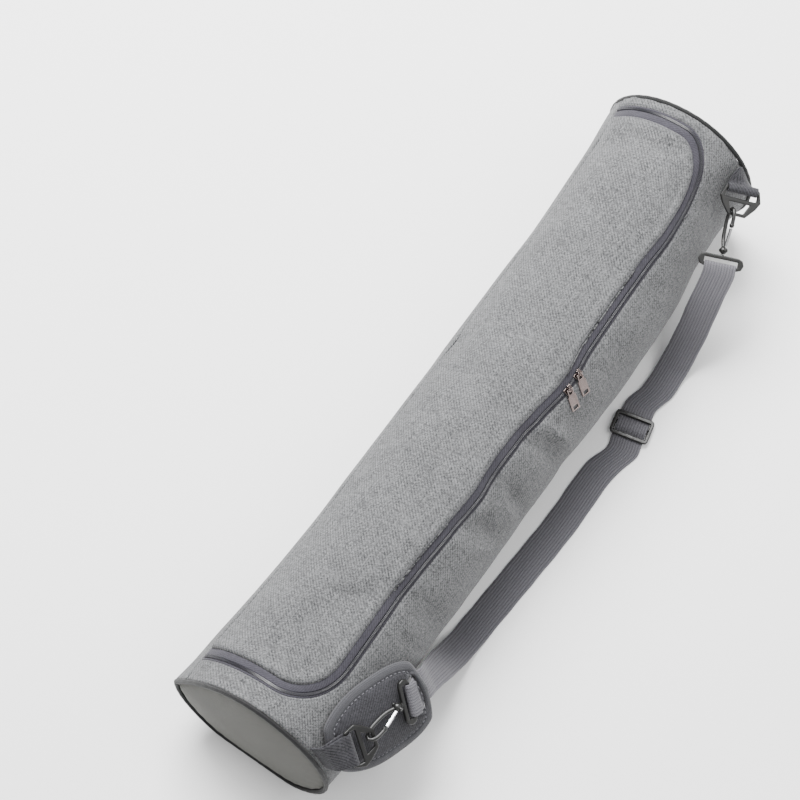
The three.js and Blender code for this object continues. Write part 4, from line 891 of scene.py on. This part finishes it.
def shoulder_pad():
    """Padded cloth: a rolled rim, a stitched groove inside it, a crowned middle, and a bound slit."""
    outline = pad_outline()
    turns = np.linspace(0, 2 * math.pi, 160, endpoint=False)
    slit = slit_middle + np.stack([slit_half * np.cos(turns),
                                   slit_wide * np.sign(np.sin(turns)) * np.abs(np.sin(turns)) ** 0.7], 1)
    slit = slit + np.stack([np.zeros(160), -0.0022 * (slit[:, 0] - slit_middle[0]) ** 2], 1)
    pitch = 1.05
    us = np.arange(-40, 40.01, pitch)
    vs = np.arange(-57, 57.01, pitch)
    grid = np.stack(np.meshgrid(us, vs, indexing="ij"), -1).reshape(-1, 2)
    keep = inside_loop(grid, outline) & ~inside_loop(grid, slit)
    rows, columns = len(us), len(vs)
    keep_grid = keep.reshape(rows, columns)
    quads = []
    for i in range(rows - 1):
        for j in range(columns - 1):
            if keep_grid[i:i + 2, j:j + 2].all():
                here, beyond = i * columns + j, (i + 1) * columns + j
                quads.append((here, beyond, beyond + 1, here + 1))
    quads = np.array(quads)
    edges = {}
    for quad in quads.tolist():
        for k in range(4):
            pair = (quad[k], quad[(k + 1) % 4])
            if (pair[1], pair[0]) in edges:
                del edges[(pair[1], pair[0])]
            else:
                edges[pair] = True
    border = np.unique(np.array(list(edges)))
    to_outline, at_outline = nearest(grid, outline)
    to_slit, at_slit = nearest(grid, slit)
    snapped = grid.copy()
    for index in border:
        if to_outline[index] < to_slit[index]:
            snapped[index] = outline[at_outline[index]]
        else:
            snapped[index] = slit[at_slit[index]]
    to_outline, at_outline = nearest(snapped, outline)
    to_slit, at_slit = nearest(snapped, slit)
    u, v = snapped[:, 0], snapped[:, 1]
    rolled = np.sqrt(np.clip(1 - (1 - np.minimum(to_outline, 4.2) / 4.2) ** 2, 0, 1))
    bound = np.sqrt(np.clip(1 - (1 - np.minimum(to_slit, 2.4) / 2.4) ** 2, 0, 1))
    half = np.full(len(snapped), 2.55)
    inner = np.clip((to_outline - 8.5) / 14, 0, 1)
    half = half + 0.75 * inner * (2 - inner) * np.exp(-np.maximum(0, v - 20) / 30)
    half = half - 1.25 * np.exp(-((to_outline - 8.6) / 1.0) ** 2)
    half = half - 1.0 * np.exp(-((to_slit - 4.6) / 0.8) ** 2) * (to_outline > 4)
    along_rim = at_outline * 0.7
    half = half + 0.16 * np.sin(along_rim / 1.55) * np.exp(-((to_outline - 8.6) / 3.2) ** 2)
    half = half + 0.18 * np.sin(u / 5.1 + 1.2 * np.sin(v / 9)) * np.sin(v / 6.3) * inner
    half = np.minimum(half * np.minimum(rolled, bound), 3.35)
    top = on_pad(u, v, half)
    low = on_pad(u, v, -half)
    count = len(snapped)
    is_border = np.zeros(count, dtype=bool)
    is_border[border] = True
    low_index = np.where(is_border, np.arange(count), np.arange(count) + count)
    faces = quads.tolist() + low_index[quads][:, ::-1].tolist()
    flat_inner = np.stack([u, v], 1)
    flat_rim = np.stack([to_outline, along_rim], 1)
    rim_face = (to_outline[quads].mean(axis=1) < 8.4)
    slit_face = (to_slit[quads].mean(axis=1) < 4.4)
    face_looks = np.concatenate([np.where(rim_face | slit_face, 1, 0)] * 2)
    piece = new_piece("pad_body", np.concatenate([top, low]), faces, np.concatenate([flat_inner, flat_inner]),
                      [pad_cloth, pad_rim], face_looks)
    flat_layer = piece.data.uv_layers["flat"].uv
    used = np.unique(np.array(faces))
    loop_vertex = np.empty(len(piece.data.loops), dtype=np.int64)
    piece.data.loops.foreach_get("vertex_index", loop_vertex)
    original = used[loop_vertex] % count
    values = flat_inner[original].copy()
    rim_loops = np.repeat(face_looks == 1, 4)
    values[rim_loops] = flat_rim[original][rim_loops]
    flat_layer.foreach_set("vector", (values * MM).astype(np.float32).ravel())
    outward(piece)
    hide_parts("shoulder_pad")

    def seam(name, loop, offset):
        centre = loop.mean(axis=0)
        after, before = np.roll(loop, -3, axis=0), np.roll(loop, 3, axis=0)
        tangent = after - before
        normal = np.stack([tangent[:, 1], -tangent[:, 0]], 1)
        normal /= np.linalg.norm(normal, axis=1, keepdims=True)
        normal *= np.sign(((loop - centre) * normal).sum(axis=1))[:, None]
        line = resampled(loop - normal * offset, 0.6)
        lift = np.full(len(line), 1.75)
        points = on_pad(line[:, 0], line[:, 1], lift)
        stitches(name, points, np.broadcast_to(pad_w, points.shape), 3.0, 1.5, 0.46, pad_thread)

    seam("pad_stitches", outline, 8.6)


# Hard pieces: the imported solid, rounded over as a moulded or cast piece is
def rounded(node, name, look, slot, body, voxel_mm, rounds, grow):
    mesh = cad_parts[node].data.copy()
    mesh.name = name
    mesh.materials.clear()
    mesh.materials.append(look)
    piece = bpy.data.objects.new(name, mesh)
    bpy.context.scene.collection.objects.link(piece)
    remesh = piece.modifiers.new("remesh", "REMESH")
    remesh.mode = "VOXEL"
    remesh.voxel_size = voxel_mm * MM
    remesh.use_smooth_shade = True
    smooth = piece.modifiers.new("smooth", "SMOOTH")
    smooth.factor = 0.5
    smooth.iterations = rounds
    if grow:
        push = piece.modifiers.new("push", "DISPLACE")
        push.mid_level = 0
        push.strength = grow * MM
    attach(piece, body)
    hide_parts(node)


body_cloth()
flap_cloth()
tape_inner, drop = coil_width / 2 + piece_gap, -0.45
# How far each tape runs on under the cloth that it is sewn to
under_flap, under_body = 1.2, 1.0
tape_flap_edge = -tape_inner - tape_on_flap - under_flap
tape_body_edge = tape_inner + tape_on_body + under_body
zip_strip("tape_flap_cloth", tape_flap_edge, -tape_inner, 9, drop, tape_cloth, "zip_tape_flap", 0)
zip_strip("tape_body_cloth", tape_inner, tape_body_edge, 4, drop, tape_cloth, "zip_tape_body", 1)
zip_teeth()
end_disc(0, "disc_low_cloth", "end_disc_low")
end_disc(1, "disc_top_cloth", "end_disc_top")
piping(0, "piping_low_cloth", "piping_low")
piping(1, "piping_top_cloth", "piping_top")
ribbon("tab_top_webbing", "tab_top", 0.6, tab_webbing)
ribbon("tab_low_webbing", "tab_low", 0.6, tab_webbing)
ribbon("strap_webbing", "strap", 1.3, webbing)
shoulder_pad()
hard_pieces = [
    # node, piece, look, slot, body, voxel in mm, rounds of smoothing, growth in mm; * is the end
    ("ring_*", "ring_*_moulded", black_plastic, "black_plastic", "bag", 0.36, 5, 0.05),
    ("hook_*", "hook_*_moulded", black_plastic, "black_plastic", "bag", 0.32, 6, 0.08),
    ("hook_loop_*", "loop_*_moulded", black_plastic, "black_plastic", "bag", 0.34, 6, 0.05),
    ("gate_*", "gate_*_metal", gate_metal, "gate_metal", "*_gate", 0.2, 4, 0.0),
    ("slider_*", "slider_*_metal", nickel, "nickel", "bag", 0.2, 3, 0.0),
    ("pull_*", "pull_*_metal", nickel, "nickel", "*_pull", 0.18, 3, 0.0),
]
for end in ("top", "low"):
    for row in hard_pieces:
        rounded(*(value.replace("*", end) if isinstance(value, str) else value for value in row))
rounded("strap_buckle", "buckle_moulded", black_plastic, "black_plastic", "bag", 0.34, 6, 0.05)

flap_edge = zip_path(cloth_in - 2.2)
skin_stitches("flap_stitches", flap_edge, 0.3, 2.3, 1.1, 0.26, -cloth_in, 1.6)
body_edge = zip_path(cloth_out + 2.0)
skin_stitches("body_stitches", body_edge, 0.3, 2.3, 1.1, 0.26, cloth_out, 0.5)
hinge_x = np.linspace(corners_of["low"][0] + 8, corners_of["top"][0] - 8, 700)
skin_stitches("hinge_stitches", np.stack([hinge_x, np.full(700, hinge_line + 3.2)], 1), 0.12, 2.6, 1.3, 0.28)

# Floor and light
floor_mesh = bpy.data.meshes.new("floor")
floor_mesh.from_pydata([(-6, -6, 0), (6, -6, 0), (6, 6, 0), (-6, 6, 0)], [], [(0, 1, 2, 3)])
floor = bpy.data.objects.new("floor", floor_mesh)
bpy.context.scene.collection.objects.link(floor)
floor.location.z = -0.0003
paper = Shader("floor", 0.9)
paper.colour(paper.noise(paper.space(), 3.0), (0.9, 0.9, 0.9), (0.92, 0.92, 0.92))
floor_mesh.materials.append(paper.material)

world = bpy.data.worlds.new("studio")
world.use_nodes = True
world.node_tree.nodes["Background"].inputs[0].default_value = (1, 1, 1, 1)
world.node_tree.nodes["Background"].inputs[1].default_value = 0.9
bpy.context.scene.world = world


def softbox(name, place, aim, size, watts):
    data = bpy.data.lights.new(name, "AREA")
    data.shape = "SQUARE"
    data.size = size
    data.energy = watts
    lamp = bpy.data.objects.new(name, data)
    lamp.location = place
    lamp.rotation_euler = (Vector(aim) - Vector(place)).to_track_quat("-Z", "Y").to_euler()
    bpy.context.scene.collection.objects.link(lamp)


softbox("key", (0.9, 1.1, 2.0), (0.1, 0, 0), 1.7, 235)
softbox("fill", (0.6, -1.6, 2.4), (0, -0.1, 0), 2.0, 34)
